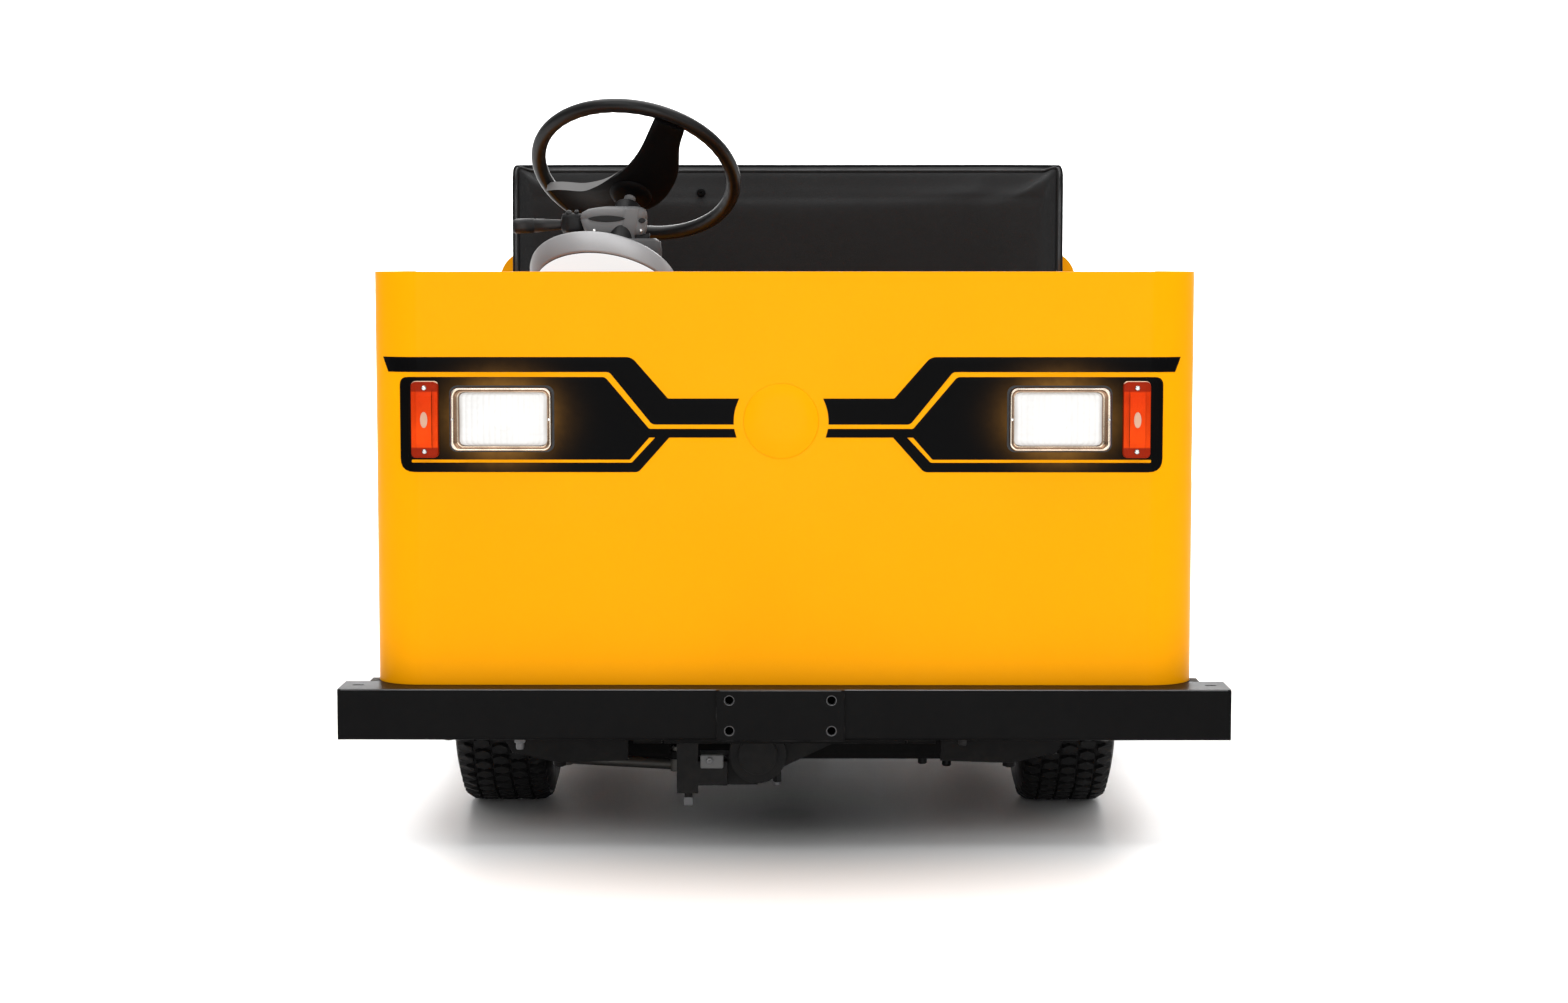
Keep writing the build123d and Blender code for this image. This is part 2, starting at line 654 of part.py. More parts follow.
def tyre(side, axle_d):
    """A plain tyre in flat facets, one of them on the ground: bead, sidewalls, shoulders and crown."""
    c, half, bead = TRACK / 2, TYRE_WIDTH / 2, RIM_WIDTH / 2 - 6 - CLEARANCE
    # Columns: distance from the tyre's middle plane, and radius to the middle of a facet
    section = [
        (bead, RIM_R + CLEARANCE),
        (bead, RIM_LIP_R + 3),
        (half - 5, RIM_LIP_R + 18),
        (half, TYRE_R - 2 * TYRE_SHOULDER),
        (half - 1, TYRE_R - TYRE_SHOULDER),
        (half - 9, TYRE_R - 8),
        (half - TYRE_SHOULDER, TYRE_R),
    ]
    loop = [(c + dx, r) for dx, r in section] + [(c - dx, r) for dx, r in reversed(section)]
    rings = []
    for facet in range(TYRE_FACETS):
        turn = math.tau * (facet + 0.5) / TYRE_FACETS
        reach = 1 / math.cos(math.pi / TYRE_FACETS)
        across, down = reach * math.sin(turn), reach * math.cos(turn)
        rings.append([at(side * x, axle_d + r * across, TYRE_R - r * down) for x, r in loop])
    faces = []
    for ring, before in zip(rings, rings[-1:] + rings[:-1]):
        for i in range(len(loop)):
            corners = (before[i - 1], before[i], ring[i], ring[i - 1])
            faces.append(Face(Wire.make_polygon(corners, close=True)))
    return Solid(Shell(faces))


def rim(side, axle_d):
    """A pressed steel wheel: barrel with lips, vented disc with studs, and the hub with its brake drum."""
    c, half = TRACK / 2, RIM_WIDTH / 2
    wall, lip, face, disc = 9.0, 6.0, 33.0, 8.0

    def ring(x0, x1, r0, r1):
        corners = ((x0, r0), (x1, r0), (x1, r1), (x0, r1))
        return spun([(side * (c + x), r) for x, r in corners], axle_d, TYRE_R)

    wheel = ring(-half, half, RIM_R - wall, RIM_R) + ring(-half, lip - half, RIM_R - 1, RIM_LIP_R)
    wheel += ring(half - lip, half, RIM_R - 1, RIM_LIP_R)
    wheel += ring(face, face + disc, HUB_R - 1, RIM_R - wall + 1)
    wheel += ring(-36, face + 22, SPINDLE_R + RUNNING, HUB_R)
    wheel += ring(45 + CLEARANCE, face + 22, 0, SPINDLE_R + 1)
    wheel += ring(-38, -20, DRUM_R - 6, DRUM_R + 2) + ring(-24, -16, HUB_R - 1, DRUM_R + 2)
    centre = at(side * c, axle_d, TYRE_R)
    # Columns: how many, the radius of their circle, their own radius, and whether they are cut out
    rounds = ((VENT_COUNT, VENT_CIRCLE_R, VENT_R, True), (STUD_COUNT, STUD_CIRCLE_R, STUD_R, False))
    for count, circle, radius, cut in rounds:
        for i in range(count):
            turn = math.radians(360 * i / count)
            d, z = axle_d + circle * math.cos(turn), centre.Z + circle * math.sin(turn)
            start = face - 1 if cut else face + disc - 1
            end = face + disc + 1 if cut else face + disc + STUD_LENGTH
            piece = crosswise(side * (c + start), side * (c + end), d, z, radius)
            wheel = wheel - piece if cut else wheel + piece
    return wheel


def rear_axle():
    """A round axle case with its differential in the middle and a stub for each wheel."""
    axle = crosswise(-TRACK / 2 + 60, TRACK / 2 - 60, REAR_AXLE_D, TYRE_R, REAR_AXLE_R)
    half, neck = DIFF_WIDTH / 2, DIFF_NECK_R
    outline = [(-half, 0), (-half, neck), (-half + 30, DIFF_R), (half - 30, DIFF_R), (half, neck), (half, 0)]
    axle += spun(outline, REAR_AXLE_D, TYRE_R)
    for side in (-1, 1):
        x, pad, reach = side * RAIL_X, SPRING_WIDTH / 2, SPRING_PAD_DEPTH / 2
        high = TYRE_R + REAR_AXLE_R + 6
        axle += block(x - pad, x + pad, REAR_AXLE_D - reach, REAR_AXLE_D + reach, TYRE_R, high)
        axle += spindle(side, REAR_AXLE_D, side * (TRACK / 2 - 61))
    return axle


def drive_motor():
    """The motor's round case, in line with the truck and bolted to the differential."""
    z = TYRE_R + 10
    motor = lengthwise(MOTOR_D, MOTOR_END_D, 0, z, MOTOR_R)
    return motor + lengthwise(MOTOR_END_D - 1, REAR_AXLE_D - DIFF_R, 0, z, DIFF_NECK_R)


def battery():
    half = BATTERY_WIDTH / 2
    return block(-half, half, BATTERY_D, BATTERY_END_D, FLOOR_HIGH, BATTERY_HIGH, 8)


def seat_box():
    """The box under the bench: an open-topped case of sheet with a folded rim."""
    half, wall = SEAT_BOX_WIDTH / 2, SEAT_BOX_WALL
    case = block(-half, half, SEAT_BOX_D, SEAT_BOX_END_D, FLOOR_HIGH, SEAT_BOX_HIGH)
    d0, d1 = SEAT_BOX_D + wall, SEAT_BOX_END_D - wall
    case -= block(-half + wall, half - wall, d0, d1, FLOOR_HIGH - 1, SEAT_BOX_HIGH - wall)
    fold, rear = SEAT_BOX_FOLD, CUSHION_END_D - CUSHION_GAP
    return case - block(-half + fold, half - fold, SEAT_BOX_D + fold, rear, FLOOR_HIGH, SEAT_BOX_HIGH + 1)


def hinge_places():
    return [(x - HINGE_LENGTH / 2, x + HINGE_LENGTH / 2) for x in (-HINGE_X, HINGE_X)]


def seat_hinges():
    """Two ears and a pin at each hinge, on the front of the seat box."""
    z, ear, corner = SEAT_BOX_HIGH - HINGE_DROP, 8.0, HINGE_R - 2
    hinges = []
    for x0, x1 in hinge_places():
        pin = crosswise(x0 - ear, x1 + ear, HINGE_D, z, HINGE_PIN_R)
        for start in (x0 - ear - CLEARANCE, x1 + CLEARANCE):
            pin += block(start, start + ear, HINGE_D - corner, SEAT_BOX_D, z - HINGE_R, z + corner)
        hinges.append(pin)
    return Compound(children=hinges)


def seat_lid():
    """The board under the cushion, with the hinge barrels at its front edge."""
    half, low = SEAT_WIDTH / 2, SEAT_BOX_HIGH + CLEARANCE
    lid = block(-half, half, CUSHION_D, CUSHION_END_D, low, low + LID_THICKNESS)
    z = SEAT_BOX_HIGH - HINGE_DROP
    for x0, x1 in hinge_places():
        lid += crosswise(x0, x1, HINGE_D, z, HINGE_R)
        lid += block(x0, x1, HINGE_D - HINGE_R, HINGE_D + 3, z, low + 1)
        lid -= crosswise(x0 - 1, x1 + 1, HINGE_D, z, HINGE_PIN_R + RUNNING)
    return lid


def seat_cushion():
    half, low = SEAT_WIDTH / 2, SEAT_BOX_HIGH + CLEARANCE + LID_THICKNESS
    pad = block(-half, half, CUSHION_D, CUSHION_END_D, low, low + CUSHION_THICKNESS)
    return fillet(pad.edges().group_by(Axis.Z)[-1], CUSHION_R)


def seat_back():
    half, front_d = SEAT_WIDTH / 2, BULKHEAD_D - BACK_THICKNESS
    pad = block(-half, half, front_d, BULKHEAD_D, BACK_LOW, BACK_HIGH)
    return fillet(pad.edges().group_by(Axis.Y)[0], CUSHION_R)


def bulkhead():
    """The upright sheet behind the bench, its top corners rounded."""
    half, corner = BULKHEAD_WIDTH / 2, 60.0
    low, top = FLOOR_HIGH, BULKHEAD_HIGH
    outline = polygon([(-half, low), (half, low), (half, top), (-half, top)])
    outline = fillet(outline.vertices().sort_by(Axis.Y)[-2:], corner)
    plate = front_plate(outline, BULKHEAD_D, BULKHEAD_D + BULKHEAD_THICKNESS)
    frame_half, high = SEAT_WIDTH / 2 - 35, BACK_HIGH - BACK_FRAME_DROP
    rear = BULKHEAD_D + BULKHEAD_THICKNESS
    return plate + block(-frame_half, frame_half, BULKHEAD_D, rear, top - 40, high)


def deck():
    """The load deck's flat plate."""
    half = DECK_WIDTH / 2
    return block(-half, half, DECK_D, DECK_END_D, DECK_HIGH - DECK_PLATE, DECK_HIGH)


def deck_side_rims():
    """The deep edges along the deck's sides."""
    half, low, high = DECK_WIDTH / 2, DECK_HIGH - DECK_RIM, DECK_HIGH - DECK_PLATE
    inner = half - DECK_PLATE
    return both_sides(lambda side: block(side * inner, side * half, DECK_D, DECK_END_D, low, high))


def deck_cross_pieces(starts, width):
    """Bars across the deck's underside, between its side rims: starts are their depths."""
    half, low, high = DECK_WIDTH / 2 - DECK_PLATE, DECK_HIGH - DECK_RIM, DECK_HIGH - DECK_PLATE
    return Compound(children=[block(-half, half, d, d + width, low, high) for d in starts])


def deck_end_rims():
    return deck_cross_pieces((DECK_D, DECK_END_D - DECK_PLATE), DECK_PLATE)


def deck_bearers():
    step = DECK_LENGTH / (DECK_BEARER_COUNT + 1)
    starts = [DECK_D + step * (i + 1) - DECK_BEARER_WIDTH / 2 for i in range(DECK_BEARER_COUNT)]
    return deck_cross_pieces(starts, DECK_BEARER_WIDTH)


def side_panels():
    """The skirts under the deck's sides, cut away round the rear wheels."""
    deck_low = DECK_HIGH - DECK_RIM

    def one(side):
        inner, outer = PANEL_X, PANEL_X + PANEL_SHEET
        sheet = block(side * inner, side * outer, DECK_D, DECK_END_D, PANEL_LOW, deck_low)
        return sheet - crosswise(side * (inner - 1), side * (outer + 1), REAR_AXLE_D, TYRE_R, PANEL_ARCH_R)

    return both_sides(one)


def tail_panel():
    """The cross sheet under the deck's rear edge, notched round the rails."""
    sheet = block(-PANEL_X, PANEL_X, DECK_END_D - TAIL_SHEET, DECK_END_D, TAIL_LOW, DECK_HIGH - DECK_RIM)
    inner, outer = RAIL_X - RAIL_WIDTH / 2 - 1, RAIL_X + RAIL_WIDTH / 2 + 1
    for side in (-1, 1):
        d0, d1 = DECK_END_D - TAIL_SHEET - 1, DECK_END_D + 1
        sheet -= block(side * inner, side * outer, d0, d1, REAR_RAIL_LOW - 1, DECK_HIGH)
    return sheet


def tail_lamps():
    def one(side):
        half, rise = TAIL_LAMP_WIDTH / 2, TAIL_LAMP_HEIGHT / 2
        x, z, end = side * TAIL_LAMP_X, TAIL_LAMP_Z, DECK_END_D + TAIL_LAMP_PROUD
        return block(x - half, x + half, DECK_END_D, end, z - rise, z + rise, 6)

    return both_sides(one)


def tow_hitch():
    """Two jaws drilled for a drop pin, on a plate that hangs from the rear crossmember."""
    half, front_d, tail_d = HITCH_WIDTH / 2, DECK_END_D - 20, DECK_END_D - TAIL_SHEET
    hitch = block(-half, half, front_d, DECK_END_D, HITCH_LOW, TAIL_LOW)
    for z in (HITCH_LOW, HITCH_HIGH - HITCH_PLATE):
        hitch += block(-half, half, front_d, LENGTH, z, z + HITCH_PLATE)
    hitch += block(-half, half, front_d, tail_d, TAIL_LOW - 1, DECK_HIGH - DECK_RIM - CROSSMEMBER_HEIGHT)
    return hitch - upright(0, LENGTH - HITCH_REACH / 2, HITCH_LOW - 1, HITCH_HIGH + 1, HITCH_PIN_R)


def wheel_axis():
    """The steering column's direction, from the floor up to the driver."""
    up, side = math.radians(WHEEL_AXIS_UP), math.radians(WHEEL_AXIS_SIDE)
    return Vector(math.cos(up) * math.sin(side), math.cos(up) * math.cos(side), math.sin(up))


def column_plane(drop):
    """A plane across the steering column, drop below the wheel; its -Y side points up and forwards."""
    axis = wheel_axis()
    across = Vector(axis.Y, -axis.X, 0).normalized()
    return Plane(origin=at(WHEEL_X, WHEEL_D, WHEEL_Z) - axis * drop, x_dir=across, z_dir=axis)


def along_column(drop0, drop1, radius):
    length = drop1 - drop0
    return column_plane(drop1) * Cylinder(radius, length, align=(Align.CENTER, Align.CENTER, Align.MIN))


def steering_wheel():
    """A round rim, two broad spokes down to the hub, and the shaft that turns in the column."""
    ring_r = WHEEL_R - WHEEL_RIM_R
    wheel = column_plane(0) * Torus(ring_r, WHEEL_RIM_R)
    hub_level = HUB_DROP - HUB_BOSS_LENGTH / 2
    for angle in SPOKE_ANGLES:
        turn = math.radians(angle)
        outward = (math.sin(turn), -math.cos(turn))
        start = column_plane(hub_level).from_local_coords(Vector(0, 0, 0))
        end = column_plane(0).from_local_coords(Vector(outward[0] * ring_r, outward[1] * ring_r, 0))
        tangent = column_plane(0).from_local_coords(Vector(-outward[1], outward[0], 0))
        tangent -= column_plane(0).origin
        spoke_plane = Plane(origin=start, x_dir=tangent, z_dir=end - start)
        standing = (Align.CENTER, Align.CENTER, Align.MIN)
        spoke = Box(SPOKE_WIDTH, SPOKE_THICKNESS, (end - start).length, align=standing)
        wheel += spoke_plane * spoke
    wheel += along_column(HUB_DROP - HUB_BOSS_LENGTH, HUB_DROP, HUB_BOSS_R)
    return wheel + along_column(HUB_DROP - 1, HUB_DROP + SHAFT_LENGTH, SHAFT_R)


def dash_bar():
    """The box bar between the cowl's sides that holds the column's lower end."""
    half = COWL_WIDTH / 2 - COWL_SKIN
    d1, high = DASH_BAR_D + DASH_BAR_WIDTH, DASH_BAR_Z + DASH_BAR_HEIGHT
    return block(-half, half, DASH_BAR_D, d1, DASH_BAR_Z, high)


def steering_column():
    tube = along_column(COLUMN_TOP_DROP, COLUMN_END_DROP, COLUMN_R)
    tube -= along_column(COLUMN_TOP_DROP - 1, HUB_DROP + SHAFT_LENGTH + 1, SHAFT_R + RUNNING)
    return tube - dash_bar()


def instrument_pod():
    """A short drum round the column."""
    drum = along_column(POD_DROP, POD_DROP + POD_LENGTH, POD_R)
    drum = fillet(drum.edges().filter_by(GeomType.CIRCLE), 6)
    return drum - along_column(POD_DROP - 1, POD_DROP + POD_LENGTH + 1, COLUMN_R + CLEARANCE / 2)


def column_switch():
    """The switch housing on the column, with its side mount and lever, and the cover below it."""
    housing = block(*SWITCH_HOUSING, 8)
    for corners in SWITCH_BLOCKS:
        housing += block(*corners)
    for x0, z0, x1, z1, radius in LEVER_STRETCHES:
        housing += rod(at(x0, LEVER_D, z0), at(x1, LEVER_D, z1), radius)
    return housing - along_column(COLUMN_TOP_DROP - 40, COLUMN_END_DROP, COLUMN_R + CLEARANCE / 2)


def under_floor():
    """The space below the footwell's floor, to cut off what stands on it."""
    return block(-FLOOR_WIDTH / 2, FLOOR_WIDTH / 2, 0, WELL_END_D, 0, FLOOR_HIGH)


def lower_shaft():
    """The shaft from the dash bar down through the floor's boot to the steering gear."""
    start = column_plane(COLUMN_END_DROP).origin
    top = Vector(start.X, start.Y, DASH_BAR_Z)
    foot = at(DROP_ARM_X + 25, DROP_ARM_D, FLOOR_HIGH)
    shaft = rod(top, foot, SHAFT_R) + rod(foot, foot + Vector(0, 0, 45), 30)
    return shaft - under_floor() - dash_bar()


def pedals():
    """The brake and accelerator: sloped pads, each on a stem from the floor."""
    pads = []
    d, low, foot_half = PEDAL_D, PEDAL_LOW, PEDAL_FOOT
    for x, width in PEDALS:
        stem = rod(at(x, d + 70, FLOOR_HIGH - 2), at(x, d, low + 16), 8)
        outline = [(d + 6, low), (d + 60, low + 55), (d + 52, low + 63), (d - 2, low + 8)]
        pad = side_plate(outline, x - width / 2, x + width / 2)
        foot = block(x - foot_half, x + foot_half, d + 40, d + 100, FLOOR_HIGH, FLOOR_HIGH + 12)
        pads.append((stem + pad + foot) - under_floor())
    return Compound(children=pads)


def lamp_outline(side, grow):
    """The lamp's opening or outline: grow is its border past the opening, as (inner, outer, ends)."""
    inner, outer, ends = grow
    x0 = LAMP_X - LAMP_WIDTH / 2 + LAMP_INNER_LIP - inner
    x1 = LAMP_X + LAMP_WIDTH / 2 - LAMP_OUTER_LIP + outer
    height = LAMP_HEIGHT - 2 * LAMP_END_LIP + 2 * ends
    return rounded(x1 - x0, height, LAMP_CORNER_R, FRONT_SHIFT_X + side * (x0 + x1) / 2, LAMP_Z)


def headlamp_gaskets():
    grow = (LAMP_INNER_LIP + GASKET_BORDER, LAMP_OUTER_LIP + GASKET_BORDER, LAMP_END_LIP + GASKET_BORDER)
    return both_sides(lambda side: front_plate(lamp_outline(side, grow), COWL_D - GASKET_THICKNESS, COWL_D))


def headlamp_rims():
    """The bright frames round the lenses, each closed behind."""
    rear_d = COWL_D - GASKET_THICKNESS
    full = (LAMP_INNER_LIP, LAMP_OUTER_LIP, LAMP_END_LIP)

    def one(side):
        frame = front_plate(lamp_outline(side, full), COWL_D - LAMP_PROUD, rear_d)
        frame = fillet(frame.edges().group_by(Axis.Y)[0], 4)
        return frame - front_plate(lamp_outline(side, (0, 0, 0)), COWL_D - LAMP_PROUD - 1, rear_d - LAMP_BACK)

    return both_sides(one)


def headlamp_lenses():
    grow = (-CLEARANCE, -CLEARANCE, -CLEARANCE)

    def one(side):
        rear_d = COWL_D - GASKET_THICKNESS - LAMP_BACK
        lens = front_plate(lamp_outline(side, grow), COWL_D - LAMP_PROUD + 2, rear_d)
        return fillet(lens.edges().group_by(Axis.Y)[0], 3)

    return both_sides(one)


def marker_lamps():
    """The tall side markers at the cowl's corners."""

    def one(side):
        outline = rounded(MARKER_WIDTH, MARKER_HEIGHT, 9, FRONT_SHIFT_X + side * MARKER_X, MARKER_Z)
        body = front_plate(outline, COWL_D - MARKER_PROUD, COWL_D)
        return fillet(body.edges().group_by(Axis.Y)[0], 6)

    return both_sides(one)


PIECES = {
    "front_bumper": front_bumper(),
    "bumper_plate": bumper_plate(),
    "bumper_stays": bumper_stays(),
    "cowl": cowl(),
    "headlamp_gaskets": headlamp_gaskets(),
    "headlamp_rims": headlamp_rims(),
    "headlamp_lenses": headlamp_lenses(),
    "marker_lamps": marker_lamps(),
    "floor": floor(),
    "wheel_boxes": wheel_boxes(),
    "frame_rail_left": frame_rail(1),
    "frame_rail_right": frame_rail(-1),
    "crossmembers": crossmembers(),
    "front_housing": front_housing(),
    "front_axle_beam": front_axle_beam(),
    "kingpins": kingpins(),
    "front_springs": leaf_springs(FRONT_AXLE_D, BEAM_HIGH, FRONT_SPRING_HALF, RAIL_LOW),
    "rear_springs": leaf_springs(REAR_AXLE_D, TYRE_R + REAR_AXLE_R + 6, REAR_SPRING_HALF, REAR_RAIL_LOW),
    "rear_axle": rear_axle(),
    "drive_motor": drive_motor(),
    "battery": battery(),
    "seat_box": seat_box(),
    "seat_hinges": seat_hinges(),
    "bulkhead": bulkhead(),
    "seat_back": seat_back(),
    "deck": deck(),
    "deck_side_rims": deck_side_rims(),
    "deck_end_rims": deck_end_rims(),
    "deck_bearers": deck_bearers(),
    "side_panels": side_panels(),
    "tail_panel": tail_panel(),
    "tail_lamps": tail_lamps(),
    "tow_hitch": tow_hitch(),
    "dash_bar": dash_bar(),
    "steering_column": steering_column(),
    "instrument_pod": instrument_pod(),
    "column_switch": column_switch(),
    "lower_shaft": lower_shaft(),
    "pedals": pedals(),
    "steering_gear": steering_gear(),
    "seat_lid": seat_lid(),
    "seat_cushion": seat_cushion(),
    "steering_wheel": steering_wheel(),
    "knuckle_left": knuckle(1),
    "knuckle_right": knuckle(-1),
    "tie_rod": tie_rod(),
    "drop_arm": drop_arm(),
    "drag_link": drag_link(),
}
for end_name, axle_d in (("front", FRONT_AXLE_D), ("rear", REAR_AXLE_D)):
    for side_name, side in (("left", 1), ("right", -1)):
        PIECES[f"{end_name}_{side_name}_tyre"] = tyre(side, axle_d)
        PIECES[f"{end_name}_{side_name}_rim"] = rim(side, axle_d)

os.makedirs("parts", exist_ok=True)
for name, piece in PIECES.items():
    export_step(piece, f"parts/{name}.step")
print(len(PIECES), "pieces written")
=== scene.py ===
# %% [markdown]
# # An electric platform truck
#
# The truck is a frame of finished parts, made elsewhere at their real size. This file dresses that frame: it
# gives each part its finish, and models the soft, rounded and detailed pieces as meshes. Every length is in
# metres, +Z is up, the truck's front looks along -Y and its left side is on +X.

# %% Load the frame
import math

import bmesh
import bpy
from mathutils import Matrix, Vector
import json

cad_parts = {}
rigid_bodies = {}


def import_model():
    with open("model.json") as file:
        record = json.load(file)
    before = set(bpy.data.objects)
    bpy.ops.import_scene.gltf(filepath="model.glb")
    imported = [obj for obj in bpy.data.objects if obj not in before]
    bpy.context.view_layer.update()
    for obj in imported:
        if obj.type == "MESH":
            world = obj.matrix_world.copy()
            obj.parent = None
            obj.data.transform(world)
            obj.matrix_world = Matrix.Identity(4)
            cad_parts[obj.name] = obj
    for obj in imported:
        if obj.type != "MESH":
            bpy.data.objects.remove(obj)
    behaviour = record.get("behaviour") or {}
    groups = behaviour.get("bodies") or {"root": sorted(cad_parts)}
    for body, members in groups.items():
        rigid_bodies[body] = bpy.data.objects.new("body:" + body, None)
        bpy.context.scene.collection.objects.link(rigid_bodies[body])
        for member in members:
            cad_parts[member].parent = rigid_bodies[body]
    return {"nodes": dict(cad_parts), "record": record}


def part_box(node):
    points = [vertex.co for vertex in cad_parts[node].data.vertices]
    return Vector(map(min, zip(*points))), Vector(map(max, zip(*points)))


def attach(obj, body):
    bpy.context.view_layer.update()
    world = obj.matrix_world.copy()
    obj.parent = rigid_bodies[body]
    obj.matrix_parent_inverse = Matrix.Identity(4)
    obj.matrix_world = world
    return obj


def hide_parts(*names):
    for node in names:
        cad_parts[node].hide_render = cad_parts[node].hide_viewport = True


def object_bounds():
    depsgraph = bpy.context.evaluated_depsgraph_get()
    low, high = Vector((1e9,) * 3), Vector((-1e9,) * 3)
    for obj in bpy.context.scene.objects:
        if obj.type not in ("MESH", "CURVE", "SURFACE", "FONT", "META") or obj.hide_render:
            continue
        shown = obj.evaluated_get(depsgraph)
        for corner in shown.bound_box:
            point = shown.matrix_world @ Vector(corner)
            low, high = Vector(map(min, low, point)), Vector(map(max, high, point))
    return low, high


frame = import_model()
cad_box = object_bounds()
NODES = frame["nodes"]
print(len(NODES), "parts in the frame, box", cad_box)


# %% Adding to the scene
def add_object(name, data):
    """Put a mesh, a lamp or a camera into the scene under a name."""
    thing = bpy.data.objects.new(name, data)
    bpy.context.scene.collection.objects.link(thing)
    return thing


# %% [markdown]
# ## Camera
#
# A picture taken from several metres away with a long lens keeps upright lines nearly upright. The camera
# stands a little right of the middle, at chest height, and looks slightly down, so that the bumper's top
# just shows.

# %% Camera
SENSOR_WIDTH = 0.036
IMAGE_WIDTH = 1568
FOCAL_PIXELS = 2798
CAMERA_AT = (0.027, -6.432, 0.992)
CAMERA_PITCH = -4.892
CAMERA_YAW = 0.328

camera_data = bpy.data.cameras.new("camera")
camera_data.sensor_width = SENSOR_WIDTH * 1000
camera_data.lens = FOCAL_PIXELS / IMAGE_WIDTH * SENSOR_WIDTH * 1000
camera = add_object("camera", camera_data)
camera.location = CAMERA_AT
camera.rotation_euler = (math.radians(90 + CAMERA_PITCH), 0, math.radians(CAMERA_YAW))
bpy.context.scene.camera = camera
print("lens", round(camera_data.lens, 2), "mm")

# %% [markdown]
# ## Floor and studio light
#
# Product pictures are often taken on a white sweep: one sheet that is floor in front and wall behind,
# joined by a wide curve, so that no horizon shows. Large area lights give soft shadows with no hard edge.
# The world is bright overhead and dim at the horizon, so that black and chrome faces have something dark to
# mirror.


# %% Mesh helpers
def link(name, mesh, shade_smooth=True):
    """Put a mesh into the scene, smooth or flat."""
    piece = add_object(name, mesh)
    for face in mesh.polygons:
        face.use_smooth = shade_smooth
    return piece


def from_points(name, points, faces, shade_smooth=True):
    mesh = bpy.data.meshes.new(name)
    mesh.from_pydata([tuple(p) for p in points], [], faces)
    mesh.update()
    return link(name, mesh, shade_smooth)


# %% Floor sweep
WALL_AT = 14.0
FLOOR_FRONT = 80.0
FLOOR_HALF = 40.0
WALL_HIGH = 9.0
BEND_R = 3.0
BEND_STEPS = 16

profile = [(-FLOOR_FRONT, 0.0), (WALL_AT - BEND_R, 0.0)]
for step in range(1, BEND_STEPS + 1):
    turn = math.pi / 2 * step / BEND_STEPS
    profile.append((WALL_AT - BEND_R + BEND_R * math.sin(turn), BEND_R - BEND_R * math.cos(turn)))
profile.append((WALL_AT, WALL_HIGH))
sweep_points = [(x, y, z) for y, z in profile for x in (-FLOOR_HALF, FLOOR_HALF)]
sweep_faces = [(2 * i, 2 * i + 1, 2 * i + 3, 2 * i + 2) for i in range(len(profile) - 1)]
sweep = from_points("studio_sweep", sweep_points, sweep_faces)
print("sweep of", len(sweep_faces), "strips")


# %% Lights
def area_light(name, place, aim, size, power):
    """A square soft box at a place, aimed at a point."""
    data = bpy.data.lights.new(name, "AREA")
    data.shape = "SQUARE"
    data.size = size
    data.energy = power
    lamp = add_object(name, data)
    lamp.location = place
    lamp.rotation_euler = (Vector(aim) - Vector(place)).to_track_quat("-Z", "Y").to_euler()


# Columns: name, place, aim, size, power
SOFT_BOXES = (
    ("key_light", (-2.5, -6.5, 5.0), (0, -1, 0.5), 4.0, 95),
    ("fill_light", (4.0, -5.5, 3.5), (0, -1, 0.5), 4.0, 70),
    ("top_light", (0, 0.0, 6.0), (0, 0, 0), 6.0, 330),
    ("back_light", (0, 6.0, 4.5), (0, 1, 0.6), 4.0, 190),
    ("low_light", (0, -8.0, 0.9), (0, -1, 0.35), 3.0, 75),
    ("wall_light", (0, 7.0, 4.0), (0, 14, 2.5), 7.0, 1500),
)
for box in SOFT_BOXES:
    area_light(*box)

world = bpy.data.worlds.new("studio")
world.use_nodes = True
sky_tree = world.node_tree
sky = sky_tree.nodes["Background"]
sky.inputs["Strength"].default_value = 1.0
direction = sky_tree.nodes.new("ShaderNodeSeparateXYZ")
sky_tree.links.new(sky_tree.nodes.new("ShaderNodeTexCoord").outputs["Generated"], direction.inputs[0])
brightness = sky_tree.nodes.new("ShaderNodeMapRange")
for label, value in (("From Min", 0.05), ("From Max", 0.7), ("To Min", 0.10), ("To Max", 1.0)):
    brightness.inputs[label].default_value = value
sky_tree.links.new(direction.outputs["Z"], brightness.inputs["Value"])
sky_tree.links.new(brightness.outputs["Result"], sky.inputs["Color"])
bpy.context.scene.world = world
bpy.context.scene.view_settings.view_transform = "Standard"
print(len(SOFT_BOXES), "soft boxes")

# %% [markdown]
# ## Shared effects
#
# Real paint, rubber and steel share a few effects: a fine grain, slight patches in the colour, edges that
# catch the light and wear through, and dust that settles low down and on top. Each effect is one node group
# with its own sockets, so every material can use it with its own values. The Principled shader itself stays
# in each material, where its plain numbers are set directly on the sockets.


# %% Node group helpers
def new_group(name, inputs, outputs):
    """A shader node group: inputs are (name, kind, start value), outputs are (name, kind)."""
    group = bpy.data.node_groups.new(name, "ShaderNodeTree")
    for label, kind, start in inputs:
        socket = group.interface.new_socket(label, in_out="INPUT", socket_type=kind)
        socket.default_value = start
    for label, kind in outputs:
        group.interface.new_socket(label, in_out="OUTPUT", socket_type=kind)
    return group, group.nodes.new("NodeGroupInput"), group.nodes.new("NodeGroupOutput")


def math_node(tree, operation, first, second=None, clamp=False):
    """A Math node whose inputs are sockets or plain numbers."""
    node = tree.nodes.new("ShaderNodeMath")
    node.operation = operation
    node.use_clamp = clamp
    for socket, value in zip(node.inputs, (first, second)):
        if value is None:
            continue
        if isinstance(value, (int, float)):
            socket.default_value = value
        else:
            tree.links.new(value, socket)
    return node.outputs[0]


